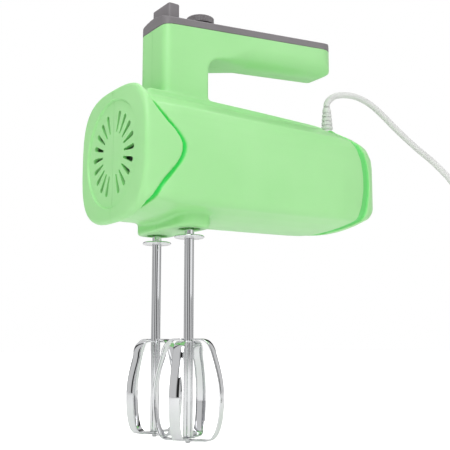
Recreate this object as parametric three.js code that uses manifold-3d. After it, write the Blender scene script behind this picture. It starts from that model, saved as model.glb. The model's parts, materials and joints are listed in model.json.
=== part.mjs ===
// Hand mixer with two ribbon beaters, built as an assembly of separate solids.
// Millimetres, +Z up. The mixer's nose points along -X and its width runs along Y.
// The code is written round the centre of the nose's air vents. The whole group is then moved
// so that the origin is the middle of the hand grip, where the mixer is held.
import * as THREE from 'three';
import { mergeVertices } from 'three/addons/utils/BufferGeometryUtils.js';
import Module from 'manifold-3d';

const wasm = await Module();
wasm.setup();

// ---------------------------------------------------------------- driving dimensions
const CLEAR = 0.3; // gap between touching pieces
const WALL = 2.2; // thickness of the moulded shells
const GRIP_CENTRE = new THREE.Vector3(115, 0, 88);

const BODY = {
  face: -1.4, // x of the nose's front face
  rear: 202,
  halfWidth: 45.2,
  top: 43.4,
  noseBottom: -44.4,
  bottom: -41,
  rearBottom: -38.5,
  rearTop: 40.3,
};
const HANDLE = {
  front: 27.2,
  postRear: 61.6,
  rear: 176.8,
  halfWidth: 17.4,
  seamFront: 88.9, // height of the seam under the grey cover at the post's front
  slope: Math.tan(THREE.MathUtils.degToRad(5.05)),
  underFront: 72.3, // underside of the grip just behind the post
  underRear: 82.6,
};
const COVER = { edge: 5, crown: 3.4 };
const BUTTON = { x: 37.7, length: 8.6, halfWidth: 11, top: 107.4, travel: 6 };
const DIAL = { x: 65.5, radius: 9.6, bottom: 101.9, top: 107.6, ribs: 30 };
const SWITCH = { front: 58, rear: 77, halfWidth: 9, bottom: 80.5, top: 90 };
const BOARD = { front: 90, rear: 146, halfWidth: 12, bottom: 84, thick: 1.6 };

const VENT = { inner: 14.5, outer: 28, count: 20, ring: 35.2 };
const BOSS = { x: 44.6, halfLength: 12.4, halfWidth: 32.4, bottom: -46.9 };
const SPINDLE = { x: 44.6, y: 20.53 };
const MOTOR_Z = -2; // height of the motor axis
const GEARBOX = { front: 24, rear: 64.5, halfWidth: 34, bottom: -14, top: 11.5, plate: 3 };

const BEATER = {
  shaft: 3.05,
  top: 6,
  collar: 9.6,
  collarZ: -52,
  loopTop: -115.6,
  loopBottom: -178.6,
  radius: 23.3,
  strip: 7,
  gauge: 1,
  tip: -179.4,
};
const CORD = { radius: 2.5, x: 183.5 };
const FLOOR = BEATER.tip;

// ---------------------------------------------------------------- materials
const paint = (color, roughness, metalness = 0) =>
  new THREE.MeshStandardMaterial({ color, roughness, metalness });
const MATERIALS = {
  mintPlastic: paint(0xa9e8a3, 0.35),
  greyPlastic: paint(0x858285, 0.45),
  blackPlastic: paint(0x26282a, 0.5),
  whiteNylon: paint(0xe9e6dc, 0.5),
  polishedSteel: paint(0xc9cacc, 0.15, 1),
  zincSteel: paint(0xb2b4b3, 0.4, 1),
  coreSteel: paint(0x77787a, 0.55, 1),
  copper: paint(0xb1683a, 0.35, 1),
  bronze: paint(0xa07a45, 0.5, 1),
  carbon: paint(0x2b2b2c, 0.7),
  board: paint(0x2f6b45, 0.6),
  whiteRubber: paint(0xe4e4e2, 0.6),
};

// ---------------------------------------------------------------- solids
/** Turns a closed three.js geometry into a manifold solid whose faces point out. */
function solid(geometry) {
  const bare = geometry.clone();
  bare.deleteAttribute('normal');
  bare.deleteAttribute('uv');
  const merged = mergeVertices(bare, 1e-4);
  const points = new Float32Array(merged.attributes.position.array);
  const faces = [];
  let volume = 0;
  const corner = (i) => new THREE.Vector3().fromArray(points, 3 * i);
  for (let i = 0; i < merged.index.count; i += 3) {
    const [a, b, c] = [0, 1, 2].map((k) => merged.index.getX(i + k));
    if (a === b || b === c || c === a) continue;
    faces.push([a, b, c]);
    volume += corner(a).dot(corner(b).cross(corner(c)));
  }
  const outward = faces.map(([a, b, c]) => (volume < 0 ? [a, c, b] : [a, b, c]));
  return new wasm.Manifold(
    new wasm.Mesh({ numProp: 3, vertProperties: points, triVerts: new Uint32Array(outward.flat()) }),
  );
}

/** Gives a manifold solid back as a three.js geometry. */
function toGeometry(body) {
  const mesh = body.getMesh();
  const geometry = new THREE.BufferGeometry();
  geometry.setAttribute('position', new THREE.BufferAttribute(mesh.vertProperties, 3));
  geometry.setIndex(new THREE.BufferAttribute(mesh.triVerts, 1));
  geometry.computeVertexNormals();
  return geometry;
}

const join = (...bodies) => bodies.reduce((sum, body) => sum.add(body));
const cut = (body, ...tools) => tools.reduce((rest, tool) => rest.subtract(tool), body);

/** A block between two corners. */
function block([x0, y0, z0], [x1, y1, z1]) {
  const geometry = new THREE.BoxGeometry(x1 - x0, y1 - y0, z1 - z0);
  return solid(geometry.translate((x0 + x1) / 2, (y0 + y1) / 2, (z0 + z1) / 2));
}

const extrude = (shape, depth, curveSegments = 6) =>
  new THREE.ExtrudeGeometry(shape, { depth, bevelEnabled: false, curveSegments, steps: 1 });

/** Extrudes a plan outline, drawn in x and y, between two heights. */
const prismZ = (shape, z0, z1, segments) => solid(extrude(shape, z1 - z0, segments).translate(0, 0, z0));

/** Extrudes a side outline, drawn in x and z, between two values of y. */
const prismY = (shape, y0, y1, segments) =>
  solid(extrude(shape, y1 - y0, segments).rotateX(Math.PI / 2).translate(0, y1, 0));

const ALONG_X = new THREE.Matrix4().makeBasis(
  new THREE.Vector3(0, 1, 0),
  new THREE.Vector3(0, 0, 1),
  new THREE.Vector3(1, 0, 0),
);

/** Extrudes a front outline, drawn in y and z, between two values of x. */
const prismX = (shape, x0, x1, segments) =>
  solid(extrude(shape, x1 - x0, segments).applyMatrix4(ALONG_X).translate(x0, 0, 0));

/** A turned piece. The profile is a list of [radius, height] about its own axis. */
function turned(profile, segments = 24) {
  const points = profile.map(([r, h]) => new THREE.Vector2(r, h));
  return new THREE.LatheGeometry(points, segments);
}
const turnedZ = (profile, x = 0, y = 0, segments = 24) =>
  solid(turned(profile, segments).rotateX(Math.PI / 2).translate(x, y, 0));
const turnedX = (profile, y = 0, z = 0, segments = 24) =>
  solid(turned(profile, segments).rotateZ(-Math.PI / 2).translate(0, y, z));
const turnedY = (profile, x = 0, z = 0, segments = 20) => solid(turned(profile, segments).translate(x, 0, z));

/** Closed [radius, height] profile of a ring or, with inner 0, of a plain cylinder. */
function ring(inner, outer, h0, h1) {
  if (inner === 0) return [[0, h0], [outer, h0], [outer, h1], [0, h1]];
  return [[inner, h0], [outer, h0], [outer, h1], [inner, h1], [inner, h0]];
}

/** Rounded rectangle between two corners of a drawing plane. */
function roundedRectangle(x0, y0, x1, y1, radius) {
  const shape = new THREE.Shape();
  shape.absarc(x1 - radius, y0 + radius, radius, -Math.PI / 2, 0);
  shape.absarc(x1 - radius, y1 - radius, radius, 0, Math.PI / 2);
  shape.absarc(x0 + radius, y1 - radius, radius, Math.PI / 2, Math.PI);
  shape.absarc(x0 + radius, y0 + radius, radius, Math.PI, 1.5 * Math.PI);
  shape.closePath();
  return shape;
}

/** Circular section of a wire or cord, with the given number of sides. */
function roundSection(radius, sides) {
  const shape = new THREE.Shape();
  for (let i = 0; i < sides; i += 1) {
    const angle = (2 * Math.PI * i) / sides;
    const [x, y] = [radius * Math.cos(angle), radius * Math.sin(angle)];
    if (i === 0) shape.moveTo(x, y);
    else shape.lineTo(x, y);
  }
  shape.closePath();
  return shape;
}

/** A wire of round section along a curve. */
const wire = (curve, radius, sides, steps) =>
  solid(
    new THREE.ExtrudeGeometry(roundSection(radius, sides), {
      steps,
      bevelEnabled: false,
      extrudePath: curve,
    }),
  );

/** Helix about its own +Z axis. */
class Helix extends THREE.Curve {
  constructor(radius, pitch, turns, start = 0) {
    super();
    Object.assign(this, { radius, pitch, turns, start });
  }

  getPoint(t, target = new THREE.Vector3()) {
    const angle = 2 * Math.PI * this.turns * t + this.start;
    const height = this.pitch * this.turns * t;
    return target.set(this.radius * Math.cos(angle), this.radius * Math.sin(angle), height);
  }
}

// ---------------------------------------------------------------- the assembly
const mixer = new THREE.Group();
mixer.position.copy(GRIP_CENTRE).negate();

/** Names a solid, gives it its own material and adds it to the assembly. */
function piece(name, body, material) {
  const mesh = new THREE.Mesh(toGeometry(body), material.clone());
  mesh.name = name;
  mixer.add(mesh);
  return mesh;
}

// ---------------------------------------------------------------- housing
/** Height of the seam between the green handle and its grey cover. */
const seamZ = (x) => HANDLE.seamFront + (x - HANDLE.front) * HANDLE.slope;
/** Height of the grip's underside. */
const underZ = (x) => {
  const share = (x - HANDLE.postRear) / (HANDLE.rear - HANDLE.postRear);
  return HANDLE.underFront + share * (HANDLE.underRear - HANDLE.underFront);
};

/** The body seen from the side, moved inwards by the inset. */
function bodySide(inset) {
  const front = BODY.face + inset;
  const rear = BODY.rear - inset;
  const top = BODY.top - inset;
  const rearTop = BODY.rearTop - inset;
  const rearBottom = BODY.rearBottom + inset;
  const shape = new THREE.Shape();
  shape.moveTo(front, BODY.noseBottom + inset);
  shape.lineTo(6 - inset / 2, BODY.noseBottom + inset);
  shape.lineTo(9 - inset / 2, BODY.bottom + inset);
  shape.lineTo(170, rearBottom);
  shape.bezierCurveTo(189, rearBottom, rear, -26 + inset, rear, -8);
  shape.lineTo(rear, 8);
  shape.bezierCurveTo(rear, 27 - inset, 197, rearTop, 180, rearTop);
  shape.lineTo(60, top);
  shape.lineTo(front, top);
  shape.closePath();
  return shape;
}

/** The body seen from above: straight flanks, drawn in at the rear. */
function bodyPlan(inset) {
  const width = BODY.halfWidth - inset;
  const rear = BODY.rear - inset;
  const shape = new THREE.Shape();
  shape.moveTo(BODY.face + inset, -width + 2.5);
  shape.lineTo(BODY.face + 2.5 + inset, -width);
  shape.lineTo(110, -width);
  shape.quadraticCurveTo(160, -width, 184, -39.5 + inset);
  shape.quadraticCurveTo(rear, -33 + inset, rear, -14);
  shape.lineTo(rear, 14);
  shape.quadraticCurveTo(rear, 33 - inset, 184, 39.5 - inset);
  shape.quadraticCurveTo(160, width, 110, width);
  shape.lineTo(BODY.face + 2.5 + inset, width);
  shape.lineTo(BODY.face + inset, width - 2.5);
  shape.closePath();
  return shape;
}

/** The body seen from the front: a rectangle with well rounded corners. */
function bodyFront(inset) {
  const width = BODY.halfWidth - inset;
  return roundedRectangle(-width, BODY.noseBottom + inset, width, BODY.top - inset, 22 - inset);
}

function bodyForm(inset) {
  const side = prismY(bodySide(inset), -60, 60, 6);
  const plan = prismZ(bodyPlan(inset), -60, 60, 4);
  const front = prismX(bodyFront(inset), -10, 220, 6);
  return side.intersect(plan).intersect(front);
}

/** The post and grip seen from the side, as one L-shaped outline. */
function handleSide(inset) {
  const fillet = 9;
  const end = 9;
  const front = HANDLE.front + inset;
  const rear = HANDLE.rear - inset;
  const postRear = HANDLE.postRear - inset;
  const shape = new THREE.Shape();
  shape.moveTo(front, BODY.top - 8);
  shape.lineTo(postRear, BODY.top - 8);
  shape.lineTo(postRear, underZ(HANDLE.postRear) + inset - fillet);
  shape.quadraticCurveTo(
    postRear,
    underZ(HANDLE.postRear) + inset,
    postRear + fillet,
    underZ(HANDLE.postRear + fillet) + inset,
  );
  shape.lineTo(rear - end, underZ(rear - end) + inset);
  shape.quadraticCurveTo(rear, underZ(rear) + inset, rear, underZ(rear) + end);
  shape.lineTo(rear, seamZ(rear));
  shape.lineTo(front, seamZ(front));
  shape.closePath();
  return shape;
}

/** The handle seen from above. */
function handlePlan(inset) {
  const width = HANDLE.halfWidth - inset;
  return roundedRectangle(HANDLE.front + inset, -width, HANDLE.rear - inset, width, 6 - inset / 2);
}

/** The grip seen from the front, with its rounded underside. */
function gripFront(inset) {
  const width = HANDLE.halfWidth - inset;
  const bottom = HANDLE.underFront + inset;
  return roundedRectangle(-width, bottom, width, 140, 10 - inset);
}

/** Post and grip: the post is upright and the grip's rounded underside rises to the rear. */
function handleForm(inset) {
  const outline = prismY(handleSide(inset), -30, 30, 4).intersect(prismZ(handlePlan(inset), 20, 130, 3));
  const rise = (HANDLE.underRear - HANDLE.underFront) / (HANDLE.rear - HANDLE.postRear);
  const slide = new THREE.Matrix4().makeShear(0, rise, 0, 0, 0, 0);
  const rounded = extrude(gripFront(inset), 140, 3).applyMatrix4(ALONG_X).applyMatrix4(slide);
  const under = solid(rounded.translate(HANDLE.postRear - inset - 1, 0, 0));
  const post = block([HANDLE.front - 1, -30, 20], [HANDLE.postRear - inset, 30, 130]);
  return outline.intersect(join(under, post));
}

function bossForm(inset) {
  const { x, halfLength, halfWidth, bottom } = BOSS;
  const plan = roundedRectangle(
    x - halfLength + inset,
    -halfWidth + inset,
    x + halfLength - inset,
    halfWidth - inset,
    8.5 - inset,
  );
  return prismZ(plan, bottom + inset, -20, 4);
}

/** One tapered air slot, wider at its outer end. */
function ventSlot(angle) {
  const [narrow, wide] = [0.7, 1.8];
  const shape = new THREE.Shape();
  shape.moveTo(-narrow, VENT.inner);
  shape.lineTo(narrow, VENT.inner);
  shape.lineTo(wide, VENT.outer - wide);
  shape.absarc(0, VENT.outer - wide, wide, 0, Math.PI);
  shape.closePath();
  const slot = extrude(shape, 10, 3).rotateZ(angle).applyMatrix4(ALONG_X);
  return solid(slot.translate(-5, 0, 0));
}

/** The slots run all round but for the two places on the seam between the shells. */
function vents() {
  const slots = [];
  for (let i = 0; i < VENT.count; i += 1) {
    if (i % (VENT.count / 2) === 0) continue;
    slots.push(ventSlot((2 * Math.PI * i) / VENT.count));
  }
  return slots;
}

/** Where the screws that clamp the shells together run, as [x, z]. */
const SCREWS = [[77, -32.5], [160, -26], [160, 26], [16, 32], [54, 60], [160, 92]];
const SCREW = { shank: 1.4, head: 3.1, post: 4.3, headY: 6.5, headHeight: 2.4, tip: -12 };

/** Hollow post of the right shell that a screw's head sinks into, as a post and its bore. */
function screwTube([x, z]) {
  const post = turnedY(ring(0, SCREW.post, CLEAR / 2, 60), x, z, 12);
  const bore = join(
    turnedY(ring(0, SCREW.shank + CLEAR, -1, SCREW.headY + 1), x, z, 10),
    turnedY(ring(0, SCREW.head + CLEAR, SCREW.headY, 70), x, z, 14),
  );
  return { post, bore };
}

/** Blind post of the left shell that a screw's thread bites into. */
function screwPost([x, z]) {
  const post = turnedY(ring(0, SCREW.post, -60, -CLEAR / 2), x, z, 12);
  const bore = turnedY(ring(0, SCREW.shank + CLEAR, SCREW.tip - 2, 1), x, z, 10);
  return { post, bore };
}

function housingScrew(index) {
  const [x, z] = SCREWS[index];
  const seat = SCREW.headY + CLEAR;
  const profile = [
    [0, SCREW.tip],
    [SCREW.shank, SCREW.tip + 2],
    [SCREW.shank, seat],
    [SCREW.head, seat],
    [SCREW.head - 0.8, seat + SCREW.headHeight],
    [0, seat + SCREW.headHeight],
  ];
  const cross = join(
    block([x - 1.7, seat + 1, z - 0.4], [x + 1.7, 40, z + 0.4]),
    block([x - 0.4, seat + 1, z - 1.7], [x + 0.4, 40, z + 1.7]),
  );
  return cut(turnedY(profile, x, z, 10), cross);
}

/** Both shells are cut from this one form: outer skin, open inside. */
function buildHousing() {
  const outer = join(bodyForm(0), handleForm(0), bossForm(0));
  const cavity = join(bodyForm(WALL), handleForm(WALL), bossForm(WALL));
  const shelf = block([HANDLE.front + 1, -16.5, 68], [HANDLE.postRear - 1, 16.5, 70]);
  const stemHole = block([34, -3.6, 60], [41.4, 3.6, 80]);
  const openings = [
    ...vents(),
    turnedZ(ring(0, 7, -60, -30), SPINDLE.x, -SPINDLE.y),
    turnedZ(ring(0, 7, -60, -30), SPINDLE.x, SPINDLE.y),
    turnedZ(ring(0, 4.6, 30, 60), CORD.x, 0, 20),
    // the handle is open on top, under its cover
    prismZ(handlePlan(WALL), seamZ(HANDLE.front) - 2, 120, 4).intersect(
      prismY(handleTopBand(), -30, 30),
    ),
    stemHole,
  ];
  const recess = turnedX(ring(0, VENT.ring, BODY.face - 1, 0), 0, 0, 48);
  const hollow = cavity.subtract(shelf);
  const skin = cut(outer, recess);
  const sides = [
    { name: 'left_housing', y0: -70, y1: -CLEAR / 2, make: screwPost },
    { name: 'right_housing', y0: CLEAR / 2, y1: 70, make: screwTube },
  ];
  sides.forEach(({ name, y0, y1, make }) => {
    const posts = SCREWS.map(make);
    const inside = cut(hollow, ...posts.map(({ post }) => post));
    const half = block([-20, y0, -80], [240, y1, 140]);
    const shell = cut(skin, inside, ...openings, ...posts.map(({ bore }) => bore));
    piece(name, shell.intersect(half), MATERIALS.mintPlastic);
  });
  SCREWS.forEach((place, index) => {
    piece(`housing_screw_${index + 1}`, housingScrew(index), MATERIALS.zincSteel);
  });
}

/** Band over the seam of the cover, used to open the handle's top. */
function handleTopBand() {
  const shape = new THREE.Shape();
  shape.moveTo(HANDLE.front, seamZ(HANDLE.front) - WALL - 1);
  shape.lineTo(HANDLE.rear, seamZ(HANDLE.rear) - WALL - 1);
  shape.lineTo(HANDLE.rear, 130);
  shape.lineTo(HANDLE.front, 130);
  shape.closePath();
  return shape;
}

// ---------------------------------------------------------------- handle top
/** Grey cover: crowned across, with holes for the button and for the dial's shaft. */
function buildCover() {
  const side = new THREE.Shape();
  const [x0, x1] = [HANDLE.front, HANDLE.rear];
  const rise = COVER.edge + COVER.crown;
  side.moveTo(x0, seamZ(x0) + CLEAR);
  side.lineTo(x1, seamZ(x1) + CLEAR);
  side.lineTo(x1, seamZ(x1) + 1.5);
  side.quadraticCurveTo(x1 - 2, seamZ(x1) + rise, x1 - 16, seamZ(x1 - 16) + rise);
  side.lineTo(x0, seamZ(x0) + rise);
  side.closePath();
  const crown = new THREE.Shape();
  const edge = HANDLE.seamFront + COVER.edge;
  crown.moveTo(-20, 60);
  crown.lineTo(20, 60);
  crown.lineTo(20, edge - 1);
  crown.quadraticCurveTo(0, edge + 2 * COVER.crown, -20, edge - 1);
  crown.closePath();
  const shear = new THREE.Matrix4().makeShear(0, HANDLE.slope, 0, 0, 0, 0);
  const crowned = solid(
    extrude(crown, x1 - x0 + 10, 8).applyMatrix4(ALONG_X).applyMatrix4(shear).translate(x0, 0, 0),
  );
  const form = prismY(side, -30, 30, 6).intersect(prismZ(handlePlan(0), 60, 130, 4)).intersect(crowned);
  const hollow = form.translate([0, 0, -2.4]).intersect(prismZ(handlePlan(WALL), 60, 130, 4));
  const { x, length, halfWidth } = BUTTON;
  const buttonHole = block(
    [x - length / 2 - CLEAR, -halfWidth - CLEAR, 80],
    [x + length / 2 + CLEAR, halfWidth + CLEAR, 120],
  );
  const shaftHole = turnedZ(ring(0, 3.3, 80, 120), DIAL.x, 0, 20);
  piece('handle_cover', cut(form, hollow, buttonHole, shaftHole), MATERIALS.greyPlastic);
}

/** Eject button, and the fork that carries its push down to the beaters. */
function buildEjector() {
  const { x, length, halfWidth, top, travel } = BUTTON;
  const outline = roundedRectangle(x - length / 2, -halfWidth, x + length / 2, halfWidth, 2.2);
  const skirtHalf = length / 2 - 0.2;
  const skirtLow = 90.5;
  const skirt = block(
    [x - skirtHalf, -halfWidth + 0.6, skirtLow],
    [x + skirtHalf, halfWidth - 0.6, skirtLow + 4],
  );
  const cap = prismZ(outline, skirtLow + 3.5, top - 1, 4);
  const crown = prismZ(
    roundedRectangle(x - length / 2 + 1, -halfWidth + 1, x + length / 2 - 1, halfWidth - 1, 1.6),
    top - 2,
    top,
    4,
  );
  piece('eject_button', join(skirt, cap, crown), MATERIALS.greyPlastic);

  // Pressed right down, the bar still clears the gearbox below it.
  const barLow = GEARBOX.top + travel + 2 * CLEAR;
  const barHalf = SPINDLE.y + 3;
  const stemHalf = 3;
  const stem = block(
    [x - stemHalf, -stemHalf, barLow + 1],
    [x + stemHalf, stemHalf, skirtLow - CLEAR],
  );
  const collar = turnedZ(ring(0, 7.6, skirtLow - 2.9, skirtLow - 1.3), x, 0, 20);
  const bar = block([x - stemHalf, -barHalf, barLow], [SPINDLE.x + 4, barHalf, barLow + 4]);
  const prongs = [-1, 1].map((side) =>
    turnedZ(ring(0, 2.6, BEATER.top + CLEAR, barLow + 1), SPINDLE.x, side * SPINDLE.y, 14),
  );
  piece('eject_fork', join(stem, collar, bar, ...prongs), MATERIALS.whiteNylon);

  const turns = 4.5;
  const [low, high] = [71.1, 86.6];
  const helix = new Helix(6.1, (high - low) / turns, turns);
  const spring = wire(helix, 0.55, 5, 42).translate([x, 0, low]);
  piece('eject_spring', spring, MATERIALS.zincSteel);
}

/** Ribbed speed dial on its shaft, the rotary switch below it and the control board. */
function buildControls() {
  const outline = new THREE.Shape();
  for (let i = 0; i < 2 * DIAL.ribs; i += 1) {
    const radius = i % 2 ? DIAL.radius : DIAL.radius - 0.5;
    const angle = (Math.PI * i) / DIAL.ribs;
    const [x, y] = [radius * Math.cos(angle) + DIAL.x, radius * Math.sin(angle)];
    if (i === 0) outline.moveTo(x, y);
    else outline.lineTo(x, y);
  }
  outline.closePath();
  const knob = prismZ(outline, DIAL.bottom, DIAL.top - 1.2);
  const dome = turnedZ(
    [
      [0, DIAL.top - 2],
      [DIAL.radius - 0.8, DIAL.top - 2],
      [DIAL.radius - 0.8, DIAL.top - 1.1],
      [DIAL.radius / 2, DIAL.top - 0.2],
      [0, DIAL.top],
    ],
    DIAL.x,
    0,
    24,
  );
  const socket = turnedZ(ring(0, 3.1, DIAL.bottom - 1, DIAL.bottom + 3), DIAL.x, 0, 20);
  piece('speed_dial', cut(join(knob, dome), socket), MATERIALS.greyPlastic);
  const shaft = turnedZ(ring(0, 2.8, 90.8, DIAL.bottom + 2.7), DIAL.x, 0, 20);
  piece('dial_shaft', shaft, MATERIALS.whiteNylon);

  const { front, rear, halfWidth, bottom, top } = SWITCH;
  const body = block([front, -halfWidth, bottom], [rear, halfWidth, top]);
  const bore = turnedZ(ring(0, 3.1, top - CLEAR, top + 5), DIAL.x, 0, 20);
  const neck = turnedZ(ring(0, 4.6, top - 1, top + 1.5), DIAL.x, 0, 20);
  const tagLow = bottom + 3.5;
  const tags = [-6, 0, 6].map((y) => block([rear - 1, y - 1.2, tagLow], [rear + 4, y + 1.2, tagLow + 0.8]));
  piece('speed_switch', cut(join(body, neck, ...tags), bore), MATERIALS.blackPlastic);

  const plate = block(
    [BOARD.front, -BOARD.halfWidth, BOARD.bottom],
    [BOARD.rear, BOARD.halfWidth, BOARD.bottom + BOARD.thick],
  );
  const seat = BOARD.bottom + BOARD.thick - 0.6; // parts stand a little way into the board
  const choke = block([BOARD.front + 4, -9, seat], [BOARD.front + 16, 3, seat + 7.5]);
  const capacitor = turnedZ(ring(0, 4, seat, seat + 8), BOARD.front + 26, -4, 14);
  const heatSink = block([BOARD.front + 36, -9, seat], [BOARD.front + 44, 9, seat + 5]);
  const resistors = [0, 1, 2].map((i) => {
    const start = BOARD.front + 21 + 4 * i;
    return block([start, 5, seat], [start + 2, 10, seat + 3]);
  });
  const parts = [choke, capacitor, heatSink, ...resistors];
  piece('circuit_board', join(plate, ...parts), MATERIALS.board);
}

// ---------------------------------------------------------------- motor
const STACK = { x0: 84, x1: 112, bore: 16.4, halfY: 25, halfZ: 28 };

function buildStator() {
  const { x0, x1, bore, halfY, halfZ } = STACK;
  const frame = prismX(
    roundedRectangle(-halfY, MOTOR_Z - halfZ, halfY, MOTOR_Z + halfZ, 5),
    x0,
    x1,
    4,
  );
  const windows = [-1, 1].map((side) => {
    const [low, high] = [MOTOR_Z + side * 11.2, MOTOR_Z + side * 20].sort((a, b) => a - b);
    return join(
      block([x0 - 1, -22, low], [x1 + 1, -12.6, high]),
      block([x0 - 1, 12.6, low], [x1 + 1, 22, high]),
    );
  });
  const hole = turnedX(ring(0, bore, x0 - 1, x1 + 1), 0, MOTOR_Z, 32);
  piece('stator_core', cut(frame, hole, ...windows), MATERIALS.coreSteel);

  const names = { [-1]: 'lower_field_coil', 1: 'upper_field_coil' };
  [-1, 1].forEach((side) => {
    const [low, high] = [MOTOR_Z + side * 11.6, MOTOR_Z + side * 19.6].sort((a, b) => a - b);
    const outer = prismZ(roundedRectangle(x0 - 8, -21.6, x1 + 8, 21.6, 6), low, high, 4);
    const inner = prismZ(roundedRectangle(x0 - 1, -13, x1 + 1, 13, 2), low - 1, high + 1, 3);
    const clearBore = turnedX(ring(0, bore + 0.2, x0 - 20, x1 + 20), 0, MOTOR_Z, 32);
    piece(names[side], cut(outer, inner, clearBore), MATERIALS.copper);
  });
}

const ROTOR = { radius: 15.8, slots: 12, shaft: 3.5 };
/** Two-start worm: its lead is two pitches of the worm wheels' teeth. */
const WORM = { crest: 1, lead: 8, length: 20 };

function buildRotor() {
  const { x0, x1 } = STACK;
  const { radius, slots, shaft } = ROTOR;
  const slotCuts = [];
  const slotBars = [];
  for (let i = 0; i < slots; i += 1) {
    const angle = (2 * Math.PI * i) / slots;
    const gap = new THREE.BoxGeometry(60, 2.8, 9.2).translate(98, 0, 13.4);
    const bar = new THREE.BoxGeometry(x1 - x0 + 4, 2.2, 5).translate(98, 0, 11.8);
    slotCuts.push(solid(gap.rotateX(angle).translate(0, 0, MOTOR_Z)));
    slotBars.push(solid(bar.rotateX(angle).translate(0, 0, MOTOR_Z)));
  }
  const core = turnedX(ring(shaft + CLEAR, radius, x0, x1), 0, MOTOR_Z, 36);
  piece('armature_core', cut(core, ...slotCuts), MATERIALS.coreSteel);

  const endTurns = (near, far) =>
    turnedX(
      [
        [shaft + 1, near],
        [14.4, near],
        [14.4, (near * 2 + far) / 3],
        [11, far],
        [shaft + 1, far],
        [shaft + 1, near],
      ],
      0,
      MOTOR_Z,
      14,
    );
  const winding = join(endTurns(x0 - CLEAR, x0 - 7), endTurns(x1 + CLEAR, x1 + 7), ...slotBars);
  piece('armature_winding', winding, MATERIALS.copper);

  const segments = 16;
  const outline = new THREE.Shape();
  for (let i = 0; i < segments; i += 1) {
    const start = (2 * Math.PI * i) / segments;
    [[10, 0], [10, 0.84], [9.3, 0.84], [9.3, 1]].forEach(([r, share], k) => {
      const angle = start + (share * 2 * Math.PI) / segments;
      const [y, z] = [r * Math.cos(angle), MOTOR_Z + r * Math.sin(angle)];
      if (i === 0 && k === 0) outline.moveTo(y, z);
      else outline.lineTo(y, z);
    });
  }
  outline.closePath();
  const commutatorBore = turnedX(ring(0, shaft + CLEAR, 118, 140), 0, MOTOR_Z, 16);
  piece('commutator', cut(prismX(outline, 121, 135), commutatorBore), MATERIALS.copper);

  const spindle = turnedX(
    [
      [0, 13],
      [2.4, 13],
      [2.5, 14],
      [2.5, 30],
      [shaft, 31],
      [shaft, 146],
      [2.5, 147],
      [2.5, 154],
      [0, 154],
    ],
    0,
    MOTOR_Z,
    12,
  );
  const ridges = [0, Math.PI].map((start) => {
    const ridge = new THREE.ExtrudeGeometry(roundSection(WORM.crest, 5), {
      steps: 17,
      bevelEnabled: false,
      extrudePath: new Helix(shaft, WORM.lead, WORM.length / WORM.lead, start),
    });
    return solid(ridge.rotateY(Math.PI / 2).translate(SPINDLE.x - WORM.length / 2, 0, MOTOR_Z));
  });
  piece('rotor_shaft', join(spindle, ...ridges), MATERIALS.zincSteel);

  const blades = [];
  const count = 9;
  for (let i = 0; i < count; i += 1) {
    const blade = new THREE.BoxGeometry(7, 1.2, 15.5).rotateZ(0.35).translate(70.5, 0, 15.5);
    blades.push(solid(blade.rotateX((2 * Math.PI * i) / count).translate(0, 0, MOTOR_Z)));
  }
  const hub = turnedX(ring(shaft + CLEAR, 8.5, 66, 74.5), 0, MOTOR_Z, 16);
  const disc = turnedX(ring(shaft + CLEAR, 24, 66, 67.4), 0, MOTOR_Z, 24);
  piece('cooling_fan', join(hub, disc, ...blades), MATERIALS.blackPlastic);
}

/** Bearings, the rear bridge and the two carbon brushes with their holders and springs. */
function buildMotorFittings() {
  const { x0, x1, halfZ } = STACK;
  const bearing = (name, from, to, inner) =>
    piece(name, turnedX(ring(inner, 6, from, to), 0, MOTOR_Z, 20), MATERIALS.bronze);
  bearing('front_bearing', 21.5, 27.5, 2.5 + 0.06);
  bearing('middle_bearing', 60.4, 65, ROTOR.shaft + 0.06);
  bearing('rear_bearing', 148, 153, 2.5 + 0.06);

  const arms = [-1, 1].map((side) => {
    const [low, high] = [side * (halfZ - 6), side * (halfZ - 3)].sort((a, b) => a - b);
    return block([x1 + CLEAR, -5, MOTOR_Z + low], [151, 5, MOTOR_Z + high]);
  });
  const bridge = block([148.5, -10, MOTOR_Z - 25], [151.5, 10, MOTOR_Z + 25]);
  const seat = turnedX(ring(0, 9, 147.5, 152.5), 0, MOTOR_Z, 24);
  const bore = turnedX(ring(0, 6 + 0.06, 140, 160), 0, MOTOR_Z, 20);
  piece('rear_bracket', cut(join(bridge, seat, ...arms), bore), MATERIALS.zincSteel);

  const centre = (121 + 135) / 2;
  [['left', -1], ['right', 1]].forEach(([side, sign]) => {
    const span = (from, to, half) => {
      const [y0, y1] = [sign * from, sign * to].sort((a, b) => a - b);
      return block([centre - half, y0, MOTOR_Z - half], [centre + half, y1, MOTOR_Z + half]);
    };
    piece(`${side}_carbon_brush`, span(10.3, 22, 2.7), MATERIALS.carbon);
    const ears = join(
      block([centre - 7, sign * 20 - 3, MOTOR_Z + 3], [centre + 7, sign * 20 + 3, MOTOR_Z + 4.4]),
      span(14, 33, 4.4),
    );
    const tunnel = span(12, 31.5, 3);
    piece(`${side}_brush_holder`, cut(ears, tunnel), MATERIALS.bronze);
    const coil = new Helix(1.9, 2.1, 4);
    const spring = wire(coil, 0.3, 4, 26).rotate([-90 * sign, 0, 0]);
    const placed = spring.translate([centre, sign * 22.7, MOTOR_Z]);
    piece(`${side}_brush_spring`, placed, MATERIALS.zincSteel);
  });
}

// ---------------------------------------------------------------- gearbox
const GEAR = { teeth: 24, root: 14.2, tip: 15.7, low: MOTOR_Z - 5, high: MOTOR_Z + 5 };

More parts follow.
